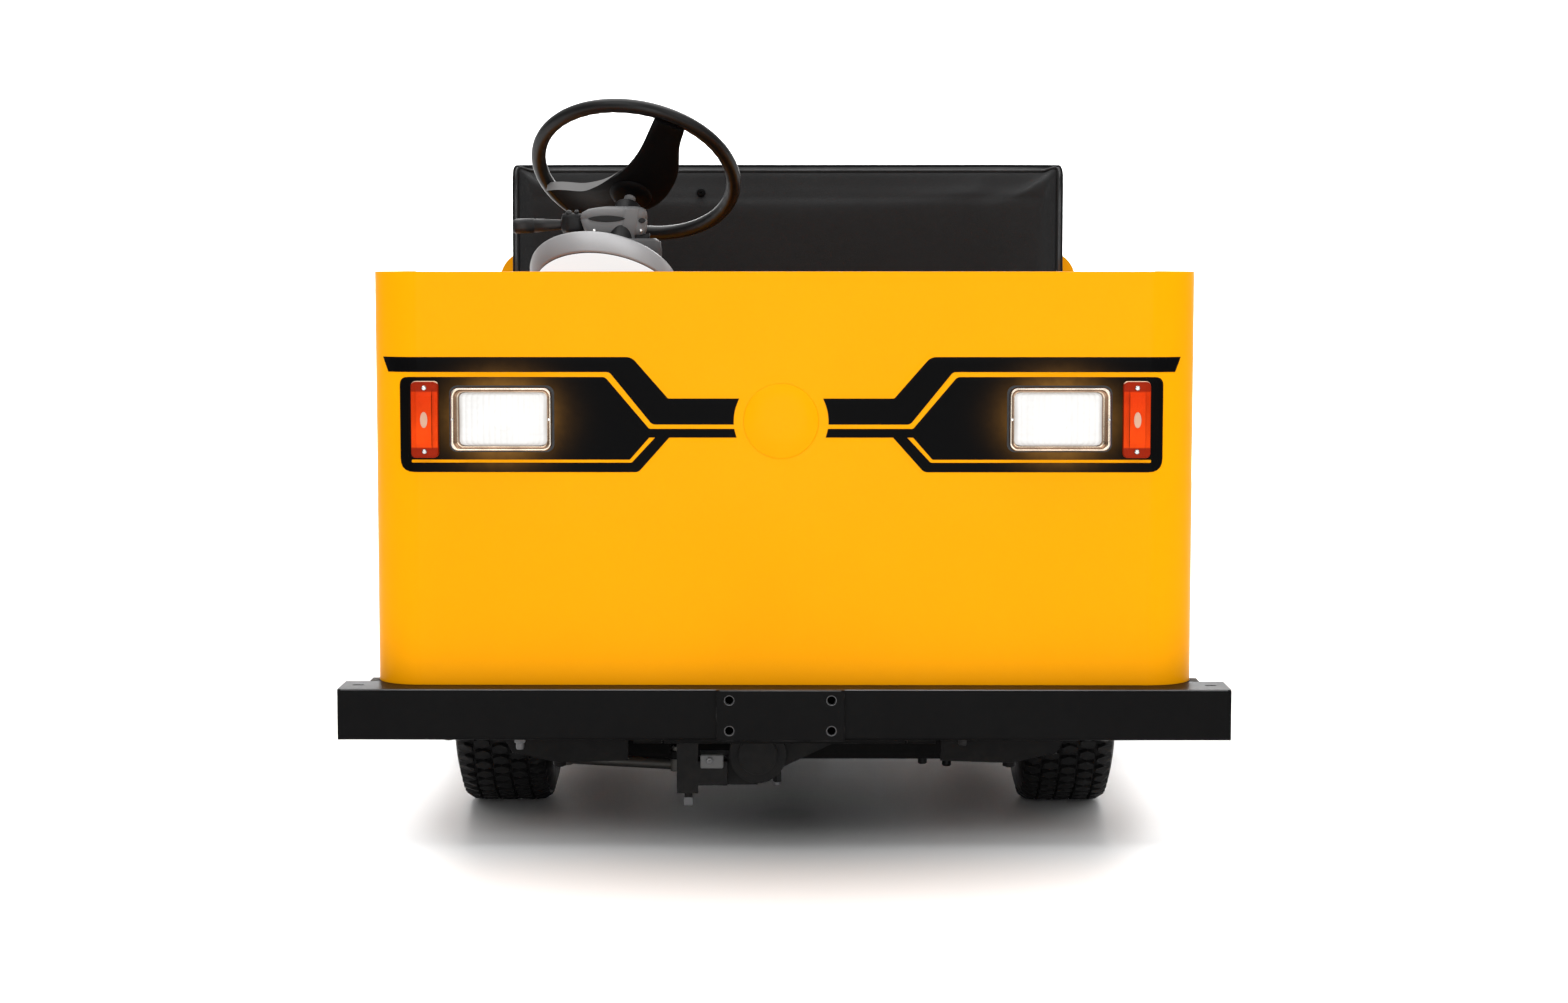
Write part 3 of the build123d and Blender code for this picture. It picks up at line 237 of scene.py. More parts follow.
def coordinates(tree, kind="Object"):
    """Where a point is in the part's own coordinates, or as shares of its box with the kind Generated."""
    return tree.nodes.new("ShaderNodeTexCoord").outputs[kind]


def normals(tree):
    return tree.nodes.new("ShaderNodeNewGeometry").outputs["Normal"]


def split(tree, vector):
    """A vector's X, Y and Z as sockets."""
    node = tree.nodes.new("ShaderNodeSeparateXYZ")
    tree.links.new(vector, node.inputs[0])
    return node.outputs


def noise(tree, scale, detail):
    """A Noise texture in the part's own coordinates; scale is a socket or a number."""
    node = tree.nodes.new("ShaderNodeTexNoise")
    node.inputs["Detail"].default_value = detail
    if isinstance(scale, (int, float)):
        node.inputs["Scale"].default_value = scale
    else:
        tree.links.new(scale, node.inputs["Scale"])
    tree.links.new(coordinates(tree), node.inputs["Vector"])
    return node.outputs["Fac"]


def spread(tree, value, low, high):
    """Map low..high to 0..1, clamped."""
    node = tree.nodes.new("ShaderNodeMapRange")
    node.inputs["From Min"].default_value = low
    node.inputs["From Max"].default_value = high
    tree.links.new(value, node.inputs["Value"])
    return node.outputs["Result"]


def mix_colour(tree, mask, first, second):
    """A colour mix; each input is a socket or a plain colour."""
    node = tree.nodes.new("ShaderNodeMix")
    node.data_type = "RGBA"
    for socket, value in ((node.inputs[0], mask), (node.inputs[6], first), (node.inputs[7], second)):
        if hasattr(value, "is_output"):
            tree.links.new(value, socket)
        else:
            socket.default_value = value
    return node.outputs[2]


FLOAT, COLOUR, VECTOR = "NodeSocketFloat", "NodeSocketColor", "NodeSocketVector"


# %% Effect: fine grain
def build_grain():
    """Height of a fine grain, with a coarser waviness under it like the skin of sprayed paint."""
    group, given, result = new_group(
        "fine_grain", (("Scale", FLOAT, 400.0), ("Waviness", FLOAT, 0.3)), (("Height", FLOAT),)
    )
    fine = noise(group, given.outputs["Scale"], 3.0)
    coarse = noise(group, math_node(group, "MULTIPLY", given.outputs["Scale"], 0.12), 2.0)
    waves = math_node(group, "MULTIPLY", coarse, given.outputs["Waviness"])
    group.links.new(math_node(group, "ADD", fine, waves), result.inputs["Height"])
    return group


# %% Effect: patches in the colour
def build_patches():
    """A colour that drifts darker in soft patches."""
    group, given, result = new_group(
        "colour_patches",
        (("Colour", COLOUR, (0.5, 0.5, 0.5, 1)), ("Scale", FLOAT, 3.0), ("Amount", FLOAT, 0.1)),
        (("Colour", COLOUR), ("Mask", FLOAT)),
    )
    mask = spread(group, noise(group, given.outputs["Scale"], 5.0), 0.35, 0.7)
    shade = math_node(group, "SUBTRACT", 1.0, math_node(group, "MULTIPLY", mask, given.outputs["Amount"]))
    scaled = group.nodes.new("ShaderNodeVectorMath")
    scaled.operation = "SCALE"
    group.links.new(given.outputs["Colour"], scaled.inputs[0])
    group.links.new(shade, scaled.inputs["Scale"])
    group.links.new(scaled.outputs[0], result.inputs["Colour"])
    group.links.new(mask, result.inputs["Mask"])
    return group


# %% Effect: worn and rounded edges
def build_edges():
    """A normal rounded over sharp edges, and a mask of where an edge has been rubbed."""
    group, given, result = new_group(
        "worn_edges",
        (("Radius", FLOAT, 0.003), ("Amount", FLOAT, 0.5), ("Scale", FLOAT, 25.0)),
        (("Normal", VECTOR), ("Mask", FLOAT)),
    )
    bevel = group.nodes.new("ShaderNodeBevel")
    bevel.samples = 3
    group.links.new(given.outputs["Radius"], bevel.inputs["Radius"])
    compare = group.nodes.new("ShaderNodeVectorMath")
    compare.operation = "DOT_PRODUCT"
    group.links.new(bevel.outputs[0], compare.inputs[0])
    group.links.new(normals(group), compare.inputs[1])
    edge = spread(group, math_node(group, "SUBTRACT", 1.0, compare.outputs["Value"]), 0.02, 0.25)
    broken = spread(group, noise(group, given.outputs["Scale"], 6.0), 0.48, 0.66)
    rubbed = math_node(group, "MULTIPLY", math_node(group, "MULTIPLY", edge, broken), given.outputs["Amount"])
    group.links.new(bevel.outputs[0], result.inputs["Normal"])
    group.links.new(rubbed, result.inputs["Mask"])
    return group


# %% Effect: dust
def build_dust():
    """Dust that thickens towards the ground and settles on upward faces."""
    group, given, result = new_group(
        "settled_dust", (("Amount", FLOAT, 0.3), ("Height", FLOAT, 0.5)), (("Mask", FLOAT),)
    )
    lift = math_node(group, "DIVIDE", split(group, coordinates(group))["Z"], given.outputs["Height"])
    low = math_node(group, "SUBTRACT", 1.0, lift, clamp=True)
    upward = math_node(group, "MAXIMUM", split(group, normals(group))["Z"], 0.0)
    top = math_node(group, "MULTIPLY", upward, 0.35)
    speckle = spread(group, noise(group, 45.0, 8.0), 0.3, 0.75)
    settled = math_node(group, "MULTIPLY", math_node(group, "ADD", low, top), speckle)
    dust = math_node(group, "MULTIPLY", settled, given.outputs["Amount"], clamp=True)
    group.links.new(dust, result.inputs["Mask"])
    return group


GRAIN, PATCHES, EDGES, DUST = build_grain(), build_patches(), build_edges(), build_dust()
print("effects:", ", ".join(group.name for group in (GRAIN, PATCHES, EDGES, DUST)))


# %% Material helpers
def place_group(tree, group, **values):
    """Put a group in a material; a value is a number, a colour or another node's output."""
    node = tree.nodes.new("ShaderNodeGroup")
    node.node_tree = group
    for label, value in values.items():
        if hasattr(value, "is_output"):
            tree.links.new(value, node.inputs[label])
        else:
            node.inputs[label].default_value = value
    return node.outputs


def start_material(name, roughness, metallic=0.0, **plain):
    """A material with its Principled shader; plain holds other sockets' fixed values."""
    material = bpy.data.materials.new(name)
    material.use_nodes = True
    shader = material.node_tree.nodes["Principled BSDF"]
    shader.inputs["Roughness"].default_value = roughness
    shader.inputs["Metallic"].default_value = metallic
    for label, value in plain.items():
        shader.inputs[label.replace("_", " ")].default_value = value
    return material, material.node_tree, shader


def add_bump(tree, shader, height, distance, strength=1.0, normal=None):
    bump = tree.nodes.new("ShaderNodeBump")
    bump.inputs["Strength"].default_value = strength
    bump.inputs["Distance"].default_value = distance
    tree.links.new(height, bump.inputs["Height"])
    if normal is not None:
        tree.links.new(normal, bump.inputs["Normal"])
    tree.links.new(bump.outputs[0], shader.inputs["Normal"])


DUST_COLOUR = (0.30, 0.26, 0.21, 1)
BARE_STEEL = (0.42, 0.41, 0.40, 1)


def coated(name, colour, roughness, grain, bump, patches, edge, wear, dust, metallic=0.0, **plain):
    """A painted, plated or moulded surface: grain, patches, rounded and rubbed edges, and dust.

    grain is the noise scale, bump its height in metres, patches how far the colour drifts, edge the rounding
    in metres, wear how much of an edge is bare, dust how much has settled.
    """
    material, tree, shader = start_material(name, roughness, metallic, **plain)
    tone = place_group(tree, PATCHES, Colour=(*colour, 1), Scale=4.0, Amount=patches)
    edges = place_group(tree, EDGES, Radius=edge, Amount=wear, Scale=30.0)
    settled = place_group(tree, DUST, Amount=dust, Height=0.55)
    worn = mix_colour(tree, edges["Mask"], tone["Colour"], BARE_STEEL)
    tree.links.new(mix_colour(tree, settled["Mask"], worn, DUST_COLOUR), shader.inputs["Base Color"])
    dusted = math_node(tree, "MULTIPLY", settled["Mask"], 0.35)
    patched = math_node(tree, "MULTIPLY", tone["Mask"], 0.06)
    matt = math_node(tree, "ADD", dusted, patched)
    tree.links.new(math_node(tree, "ADD", matt, roughness - 0.03, clamp=True), shader.inputs["Roughness"])
    height = place_group(tree, GRAIN, Scale=grain, Waviness=0.6)["Height"]
    add_bump(tree, shader, height, bump, normal=edges["Normal"])
    return material


# %% [markdown]
# ## Paint, steel, rubber and plastic
#
# Most parts of the truck are sheet steel, either sprayed in a glossy yellow or in a satin black. Gloss
# comes from a low roughness and a clear coat, and the fine waviness that sprayed paint dries with is a very
# small bump. The table gives each finish its values, and the frame's parts then take the finish that their
# slot asks for.

# %% Finishes from a table
# Columns: slot, colour, roughness, grain scale, bump, patches, edge radius, wear, dust, metallic, coat
FINISHES = (
    ("body_yellow", (0.95, 0.365, 0.0005), 0.34, 260, 0.00005, 0.03, 0.0025, 0.10, 0.0, 0.0, 0.015),
    ("bumper_black", (0.0022, 0.0022, 0.0024), 0.38, 420, 0.00008, 0.10, 0.0035, 0.15, 0.004, 0.0, 0.0),
    ("frame_black", (0.0040, 0.0040, 0.0044), 0.5, 300, 0.0002, 0.2, 0.002, 0.12, 0.02, 0.0, 0.0),
    ("gasket_grey", (0.05, 0.05, 0.052), 0.6, 500, 0.0001, 0.1, 0.001, 0.0, 0.05, 0.0, 0.0),
    ("bright_trim", (0.82, 0.82, 0.83), 0.09, 300, 0.00001, 0.03, 0.002, 0.0, 0.03, 1.0, 0.0),
    ("floor_black", (0.02, 0.02, 0.021), 0.7, 300, 0.0003, 0.2, 0.001, 0.1, 0.3, 0.0, 0.0),
    ("housing_grey", (0.0070, 0.0070, 0.0075), 0.55, 700, 0.0005, 0.25, 0.002, 0.15, 0.03, 0.2, 0.0),
    ("zinc_steel", (0.10, 0.098, 0.092), 0.45, 500, 0.00006, 0.2, 0.001, 0.0, 0.03, 0.8, 0.0),
    ("spring_steel", (0.0060, 0.0060, 0.0060), 0.5, 260, 0.0003, 0.3, 0.001, 0.15, 0.04, 0.2, 0.0),
    ("battery_case", (0.03, 0.03, 0.032), 0.5, 300, 0.0002, 0.1, 0.002, 0.0, 0.1, 0.0, 0.0),
    ("deck_steel", (0.02, 0.02, 0.021), 0.45, 240, 0.0002, 0.2, 0.003, 0.6, 0.15, 0.1, 0.0),
    ("deck_edge", (0.93, 0.37, 0.002), 0.36, 260, 0.00006, 0.05, 0.003, 0.25, 0.05, 0.0, 0.05),
    ("column_black", (0.006, 0.006, 0.0065), 0.4, 400, 0.0001, 0.1, 0.002, 0.1, 0.03, 0.0, 0.0),
    ("switch_grey", (0.15, 0.15, 0.152), 0.5, 900, 0.0001, 0.08, 0.002, 0.0, 0.03, 0.0, 0.0),
    ("pedal_rubber", (0.012, 0.012, 0.012), 0.75, 500, 0.0002, 0.2, 0.002, 0.0, 0.25, 0.0, 0.0),
    ("lid_board", (0.012, 0.012, 0.013), 0.5, 300, 0.0002, 0.15, 0.002, 0.1, 0.05, 0.0, 0.0),
    ("rim_paint", (0.5, 0.5, 0.51), 0.35, 300, 0.0001, 0.08, 0.0015, 0.1, 0.12, 0.4, 0.0),
    ("wheel_black", (0.004, 0.004, 0.0042), 0.30, 900, 0.00006, 0.06, 0.002, 0.0, 0.0, 0.0, 0.0),
    ("pod_white", (0.72, 0.72, 0.71), 0.3, 500, 0.00003, 0.02, 0.002, 0.0, 0.02, 0.0, 0.2),
    ("tail_red", (0.5, 0.008, 0.006), 0.2, 300, 0.00003, 0.05, 0.002, 0.0, 0.05, 0.0, 0.3),
    ("marker_orange", (0.86, 0.075, 0.004), 0.25, 300, 0.00003, 0.05, 0.001, 0.0, 0.02, 0.0, 0.3),
    ("decal_black", (0.0018, 0.0018, 0.0020), 0.35, 500, 0.00003, 0.05, 0.0002, 0.0, 0.0, 0.0, 0.0),
    ("marker_window", (0.72, 0.42, 0.29), 0.4, 300, 0.0001, 0.35, 0.001, 0.0, 0.0, 0.0, 0.0),
    ("strip_grey", (0.17, 0.17, 0.17), 0.45, 700, 0.00004, 0.15, 0.0005, 0.0, 0.0, 0.0, 0.0),
    ("hub_black", (0.0028, 0.0028, 0.0030), 0.45, 900, 0.00006, 0.06, 0.002, 0.0, 0.0, 0.0, 0.0),
    ("lever_grey", (0.009, 0.009, 0.0094), 0.36, 900, 0.00005, 0.1, 0.002, 0.0, 0.02, 0.0, 0.0),
    ("cover_grey", (0.060, 0.060, 0.062), 0.5, 900, 0.00008, 0.15, 0.003, 0.0, 0.03, 0.0, 0.0),
    ("drum_silver", (0.24, 0.24, 0.245), 0.45, 500, 0.00005, 0.06, 0.002, 0.0, 0.02, 0.35, 0.0),
    ("drum_white", (0.10, 0.12, 0.14), 0.35, 500, 0.00003, 0.03, 0.002, 0.0, 0.0, 0.0, 0.0),
    ("dial_face", (0.02, 0.02, 0.022), 0.35, 800, 0.00003, 0.05, 0.0005, 0.0, 0.01, 0.0, 0.0),
    ("screw_black", (0.012, 0.012, 0.013), 0.35, 500, 0.00005, 0.1, 0.001, 0.3, 0.05, 0.3, 0.0),
    # This finish is bare steel on the bolt ends, and a pale painted highlight on the bumper's edges and holes
    ("bare_steel_and_highlight", (0.16, 0.16, 0.165), 0.4, 500, 0.00004, 0.4, 0.0005, 0.0, 0.0, 0.2, 0.0),
)
# How strongly a surface mirrors what faces it, where that isn't the usual amount
USUAL_SPECULAR = 0.22
SPECULAR = {
    "body_yellow": 0.03, "bumper_black": 0.06, "decal_black": 0.03, "frame_black": 0.08, "bright_trim": 0.5,
    "marker_window": 0.1, "strip_grey": 0.3, "hub_black": 0.04, "lever_grey": 0.3, "cover_grey": 0.3,
    "drum_silver": 0.5, "drum_white": 0.2, "dial_face": 0.3, "screw_black": 0.4, "bare_steel_and_highlight": 0.4,
}
MATERIALS = {}
for slot, colour, rough, grain, bump, patches, edge, wear, dust, metal, coat in FINISHES:
    MATERIALS[slot] = coated(
        slot, colour, rough, grain, bump, patches, edge, wear, dust, metallic=metal, Coat_Weight=coat,
        Specular_IOR_Level=SPECULAR.get(slot, USUAL_SPECULAR),
    )
# The drum's white end would mirror the cowl and look orange, so it gives off a little light of its own
DRUM_GLOW = 0.84
drum_shader = MATERIALS["drum_white"].node_tree.nodes["Principled BSDF"]
drum_shader.inputs["Emission Strength"].default_value = DRUM_GLOW
print(len(MATERIALS), "coated finishes")


def paint(piece, finish):
    """Give a piece a finish, and hand the piece back."""
    piece.data.materials.append(MATERIALS[finish])
    return piece


# %% Studio sweep's finish
# A painted shadow darkens the floor under the bumper: a soft round patch, its middle and reach in metres
PAINTED_SHADOW_AT = (0.0, -1.45, 0.0)
PAINTED_SHADOW_REACH = (0.78, 0.78, 1.0)
PAINTED_SHADOW_COLOUR = (0.08, 0.08, 0.08, 1)


def paper_white():
    """Matt white with a painted shadow patch, and a trace of gloss so that the wheels mirror faintly in it.
    """
    material, tree, shader = start_material("paper_white", 0.4)
    tone = place_group(tree, PATCHES, Colour=(0.93, 0.93, 0.93, 1), Scale=1.5, Amount=0.01)
    place = tree.nodes.new("ShaderNodeMapping")
    place.vector_type = "TEXTURE"
    place.inputs["Location"].default_value = PAINTED_SHADOW_AT
    place.inputs["Scale"].default_value = PAINTED_SHADOW_REACH
    tree.links.new(coordinates(tree), place.inputs["Vector"])
    away = tree.nodes.new("ShaderNodeVectorMath")
    away.operation = "LENGTH"
    tree.links.new(place.outputs["Vector"], away.inputs[0])
    lit = spread(tree, away.outputs["Value"], 0.05, 1.0)
    tree.links.new(mix_colour(tree, lit, PAINTED_SHADOW_COLOUR, tone["Colour"]), shader.inputs["Base Color"])
    return material


sweep.data.materials.append(paper_white())

# %% Dress the frame's parts
for entry in frame["record"]["subparts"]:
    finish = MATERIALS.get(entry["material_slot"])
    if finish is None:
        continue
    part = NODES[entry["node"]]
    part.data.materials.clear()
    part.data.materials.append(finish)
print("parts dressed")

# %% [markdown]
# ## Stripes on the cowl
#
# The black stripes are cut vinyl stuck on the paint. A stripe could be painted by a mask in the cowl's
# material, but then it would have no edge that catches the light. Here each one is a thin mesh: its outline
# is drawn flat, its corners are rounded by a small curve, and where it reaches the cowl's rounded corner,
# the distance past the corner's start is turned into an angle, so that the vinyl wraps round the sheet.


# %% Outline helpers
def rounded_outline(corners, steps=5):
    """A closed outline from (x, z, radius) corners; a corner with radius 0 stays sharp."""
    outline = []
    count = len(corners)
    for i, (x, z, radius) in enumerate(corners):
        here = Vector((x, z))
        if radius <= 0:
            outline.append(here)
            continue
        before, after = Vector(corners[i - 1][:2]), Vector(corners[(i + 1) % count][:2])
        back, ahead = (before - here).normalized(), (after - here).normalized()
        setback = radius / math.tan(back.angle(ahead) / 2)
        setback = min(setback, 0.48 * (before - here).length, 0.48 * (after - here).length)
        start, end = here + back * setback, here + ahead * setback
        for step in range(steps + 1):
            t = step / steps
            outline.append(start * (1 - t) ** 2 + here * (2 * t * (1 - t)) + end * t**2)
    return outline


def flat_sheet(name, rings, thickness):
    """A thin plate filled between closed rings in (x, z): the first is its outline, the others are holes."""
    shape = bmesh.new()
    edges = []
    for ring in rings:
        corners = [shape.verts.new((p[0], 0, p[1])) for p in ring]
        edges += [shape.edges.new((corners[i - 1], corners[i])) for i in range(len(corners))]
    bmesh.ops.triangle_fill(shape, edges=edges, use_beauty=True)
    walls = bmesh.ops.extrude_face_region(shape, geom=list(shape.faces), use_keep_orig=True)
    front = [item for item in walls["geom"] if isinstance(item, bmesh.types.BMVert)]
    bmesh.ops.translate(shape, verts=front, vec=(0, -thickness, 0))
    bmesh.ops.recalc_face_normals(shape, faces=shape.faces)
    mesh = bpy.data.meshes.new(name)
    shape.to_mesh(mesh)
    shape.free()
    return link(name, mesh, shade_smooth=False)


def slice_at(piece, places):
    """Cut a mesh by planes across X, so that it can bend there."""
    shape = bmesh.new()
    shape.from_mesh(piece.data)
    for x in places:
        everything = list(shape.verts) + list(shape.edges) + list(shape.faces)
        bmesh.ops.bisect_plane(shape, geom=everything, plane_co=(x, 0, 0), plane_no=(1, 0, 0), dist=1e-6)
    shape.to_mesh(piece.data)
    shape.free()


# %% Wrapping round the cowl's corner
cowl_low, cowl_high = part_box("cowl")
COWL_FRONT = cowl_low.y
COWL_CORNER_R = 0.080
CORNER_START_X = cowl_high.x - COWL_CORNER_R
CORNER_SLICES = 10
VINYL_THICKNESS = 0.0006


def wrap_on_cowl(piece):
    """Lay a flat piece on the cowl's front and round its corners; x is the distance along the sheet."""
    corner_length = COWL_CORNER_R * math.pi / 2
    cuts = [CORNER_START_X + corner_length * i / CORNER_SLICES for i in range(CORNER_SLICES + 1)]
    slice_at(piece, cuts + [-cut for cut in cuts])
    for vertex in piece.data.vertices:
        x, out, z = vertex.co
        past = max(0.0, abs(x) - CORNER_START_X)
        turn, radius = past / COWL_CORNER_R, COWL_CORNER_R - out
        across = min(abs(x), CORNER_START_X) + radius * math.sin(turn)
        vertex.co = (math.copysign(across, x), COWL_FRONT + COWL_CORNER_R - radius * math.cos(turn), z)
    piece.data.update()


def along_sheet(x):
    """The distance along the sheet of a point that is seen at x from the front."""
    past = max(0.0, abs(x) - CORNER_START_X)
    if past == 0:
        return x
    return math.copysign(CORNER_START_X + COWL_CORNER_R * math.asin(min(1, past / COWL_CORNER_R)), x)


print("cowl's flat front ends at", round(CORNER_START_X, 3))

# %% The stripes
STRIPE_MIDDLE_X = -0.005
BADGE_Z = 0.723
BADGE_GAP_R = 0.0805
# Columns: x and z seen from the front on the truck's right half, and the corner's radius. An end at the badge
# is cut by the badge's circle.
UPPER_STRIPE = (
    (-0.6832, 0.8316, 0), (-0.2585, 0.8316, 0.022), (-0.1969, 0.7613, 0.004), (-0.0760, 0.7613, 0),
    (-0.0760, 0.7172, 0), (-0.2242, 0.7172, 0.012), (-0.2965, 0.8062, 0.010), (-0.6733, 0.8062, 0),
)
LAMP_PANEL = (
    (-0.6525, 0.7978, 0.014), (-0.3035, 0.7978, 0.012), (-0.2290, 0.7098, 0.006), (-0.0800, 0.7098, 0),
    (-0.0800, 0.6950, 0), (-0.1950, 0.6950, 0.002), (-0.2475, 0.6361, 0.014), (-0.6525, 0.6361, 0.024),
)
# The thin line of paint left bare inside the panel
BARE_LINE = (
    (-0.6330, 0.6574, 0.002), (-0.2620, 0.6574, 0.004), (-0.2290, 0.6950, 0), (-0.2190, 0.6950, 0),
    (-0.2590, 0.6522, 0.006), (-0.6330, 0.6522, 0.002),
)


def on_badge_circle(x, z):
    """A point at x inside the badge's gap moves out to its circle, at the same height."""
    reach = math.sqrt(max(0.0, BADGE_GAP_R**2 - (z - BADGE_Z) ** 2))
    return min(x, STRIPE_MIDDLE_X - reach)


def stripe_ring(corners, side):
    """One outline, rounded, cut back at the badge and measured along the sheet."""
    ring = []
    points = rounded_outline(corners)
    for i, point in enumerate(points):
        ring.append(point)
        after = points[(i + 1) % len(points)]
        if abs(point.x - after.x) < 1e-6 and point.x > -0.1:
            ring += [point.lerp(after, t / 6) for t in range(1, 6)]
    placed = [(on_badge_circle(p.x, p.y), p.y) for p in ring]
    if side > 0:
        placed = [(2 * STRIPE_MIDDLE_X - x, z) for x, z in placed]
    return [(along_sheet(x), z) for x, z in placed]


for side, word in ((-1, "right"), (1, "left")):
    for name, outlines in (("upper_stripe", (UPPER_STRIPE,)), ("lamp_panel", (LAMP_PANEL, BARE_LINE))):
        vinyl = flat_sheet(f"{name}_{word}", [stripe_ring(ring, side) for ring in outlines], VINYL_THICKNESS)
        wrap_on_cowl(vinyl)
        paint(vinyl, "decal_black")
        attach(vinyl, "root")
print("stripes laid on the cowl, middle at", STRIPE_MIDDLE_X)

# %% [markdown]
# ## Headlamps
#
# Each lamp is a pressed chrome frame that clamps a moulded lens. The lens bulges, and its ribs spread the
# light. The ribs could be a bump, but then the glowing lens would look like a flat white card, so they are
# real ridges in a grid of points. The light comes from the lens's own material. A lamp bright enough to
# make black vinyl glow would burn out the paint beside it, so the warm spill on the vinyl is light given
# off by the vinyl itself, which fades with the distance from the lamp.


# %% Soft rectangles
def soft_rectangle(half_x, half_z, corner, count, bulge=0.0):
    """Points round a rectangle with round corners, anticlockwise; bulge swells its long sides."""
    points = []
    for quarter, (sx, sz) in enumerate(((1, 1), (-1, 1), (-1, -1), (1, -1))):
        for step in range(count):
            turn = math.pi / 2 * (quarter + step / (count - 1))
            x = sx * (half_x - corner) + corner * math.cos(turn)
            z = sz * (half_z - corner) + corner * math.sin(turn)
            points.append((x, z * (1 + bulge * (1 - (x / half_x) ** 2))))
    return points


def circle(radius, sides, turn=0.0):
    """Points round a circle, anticlockwise from a turn."""
    turns = [turn + math.tau * i / sides for i in range(sides)]
    return [(radius * math.cos(t), radius * math.sin(t)) for t in turns]


def ring_faces(rings, sides, closed=False):
    """Quads between a number of rings, and from the last ring back to the first if closed."""
    faces = []
    for i in range(rings if closed else rings - 1):
        here, after = i * sides, (i + 1) % rings * sides
        for j in range(sides):
            k = (j + 1) % sides
            faces.append((here + j, here + k, after + k, after + j))
    return faces


def ring_loft(name, rings, middle=(0, 0, 0), close_last=True, shade_smooth=True):
    """A mesh through rings of equally many (x, y, z) points about a middle; the last ring may be filled."""
    count = len(rings[0])
    points = [Vector(p) + Vector(middle) for ring in rings for p in ring]
    faces = ring_faces(len(rings), count)
    if close_last:
        faces.append(tuple(range((len(rings) - 1) * count, len(rings) * count)))
    return from_points(name, points, faces, shade_smooth)


# %% Joining meshes
def join(name, pieces):
    """Join meshes into one piece with world coordinates; each keeps its materials."""
    shape = bmesh.new()
    materials = []
    for piece in pieces:
        start = len(shape.faces)
        shape.from_mesh(piece.data)
        shape.faces.ensure_lookup_table()
        kept = list(piece.data.materials)
        for face in shape.faces[start:]:
            if kept:
                material = kept[face.material_index]
                if material not in materials:
                    materials.append(material)
                face.material_index = materials.index(material)
        bpy.data.objects.remove(piece)
    mesh = bpy.data.meshes.new(name)
    shape.to_mesh(mesh)
    shape.free()
    for material in materials:
        mesh.materials.append(material)
    return add_object(name, mesh)


def pan_screw(name, place, radius, height, finish, out=(0, -1, 0), sides=16):
    """A pan-head screw with a cross slot, its head standing out along a direction."""
    rings = []
    for r, h in ((radius, 0), (radius, height * 0.45), (radius * 0.86, height * 0.8), (radius * 0.5, height)):
        rings.append([(x, y, h) for x, y in circle(r, sides)])
    cross = []
    for i, (x, y) in enumerate(circle(1.0, sides)):
        near = radius * (0.42 if i % 4 == 0 else 0.16)
        cross.append((near * x, near * y, height))
    floor = [(x * 0.9, y * 0.9, height * 0.35) for x, y, _ in cross]
    screw = ring_loft(name, rings + [cross, floor], shade_smooth=False)
    turn = Vector(out).to_track_quat("Z", "Y").to_matrix().to_4x4()
    screw.data.transform(Matrix.Translation(place) @ turn)
    return paint(screw, finish)


# %% Lamp materials
def glowing_lens():
    """Ribbed clear lens lit from behind: white in the middle, a little greyer where the ribs turn away."""
    material, tree, shader = start_material("lamp_lens", 0.25, Specular_IOR_Level=0.3, Emission_Strength=0.62)
    tone = place_group(tree, PATCHES, Colour=(0.34, 0.34, 0.335, 1), Scale=20.0, Amount=0.2)
    tree.links.new(tone["Colour"], shader.inputs["Base Color"])
    facing = tree.nodes.new("ShaderNodeLayerWeight")
    facing.inputs["Blend"].default_value = 0.5
    glow = mix_colour(tree, facing.outputs["Facing"], (1.0, 0.99, 0.97, 1), (0.42, 0.36, 0.30, 1))
    tree.links.new(glow, shader.inputs["Emission Color"])
    add_bump(tree, shader, noise(tree, 90.0, 3.0), 0.0002, 0.4)
    return material


def lamp_chrome(name, colour, roughness):
    """Chrome in a given colour with a faint unevenness; the warm colour is painted lamp light, the pale one a
    painted highlight.
    """
    material, tree, shader = start_material(name, roughness, metallic=1.0)
    tone = place_group(tree, PATCHES, Colour=(*colour, 1), Scale=25.0, Amount=0.35)
    tree.links.new(tone["Colour"], shader.inputs["Base Color"])
    add_bump(tree, shader, place_group(tree, GRAIN, Scale=300.0, Waviness=0.8)["Height"], 0.00004)
    return material


MATERIALS["lamp_lens"] = glowing_lens()
MATERIALS["bead_chrome"] = lamp_chrome("bead_chrome", (0.62, 0.61, 0.60), 0.16)
# The warm chrome is a painted reflection of the lamps' light, and the pale chrome is a painted highlight
MATERIALS["lamp_reflection_chrome"] = lamp_chrome("lamp_reflection_chrome", (0.36, 0.22, 0.14), 0.22)
MATERIALS["highlight_chrome"] = lamp_chrome("highlight_chrome", (0.85, 0.72, 0.56), 0.2)


# %% Headlamp lens
LENS_RIBS = 15
LENS_ROWS = 60
RIB_DEEP = 0.0011


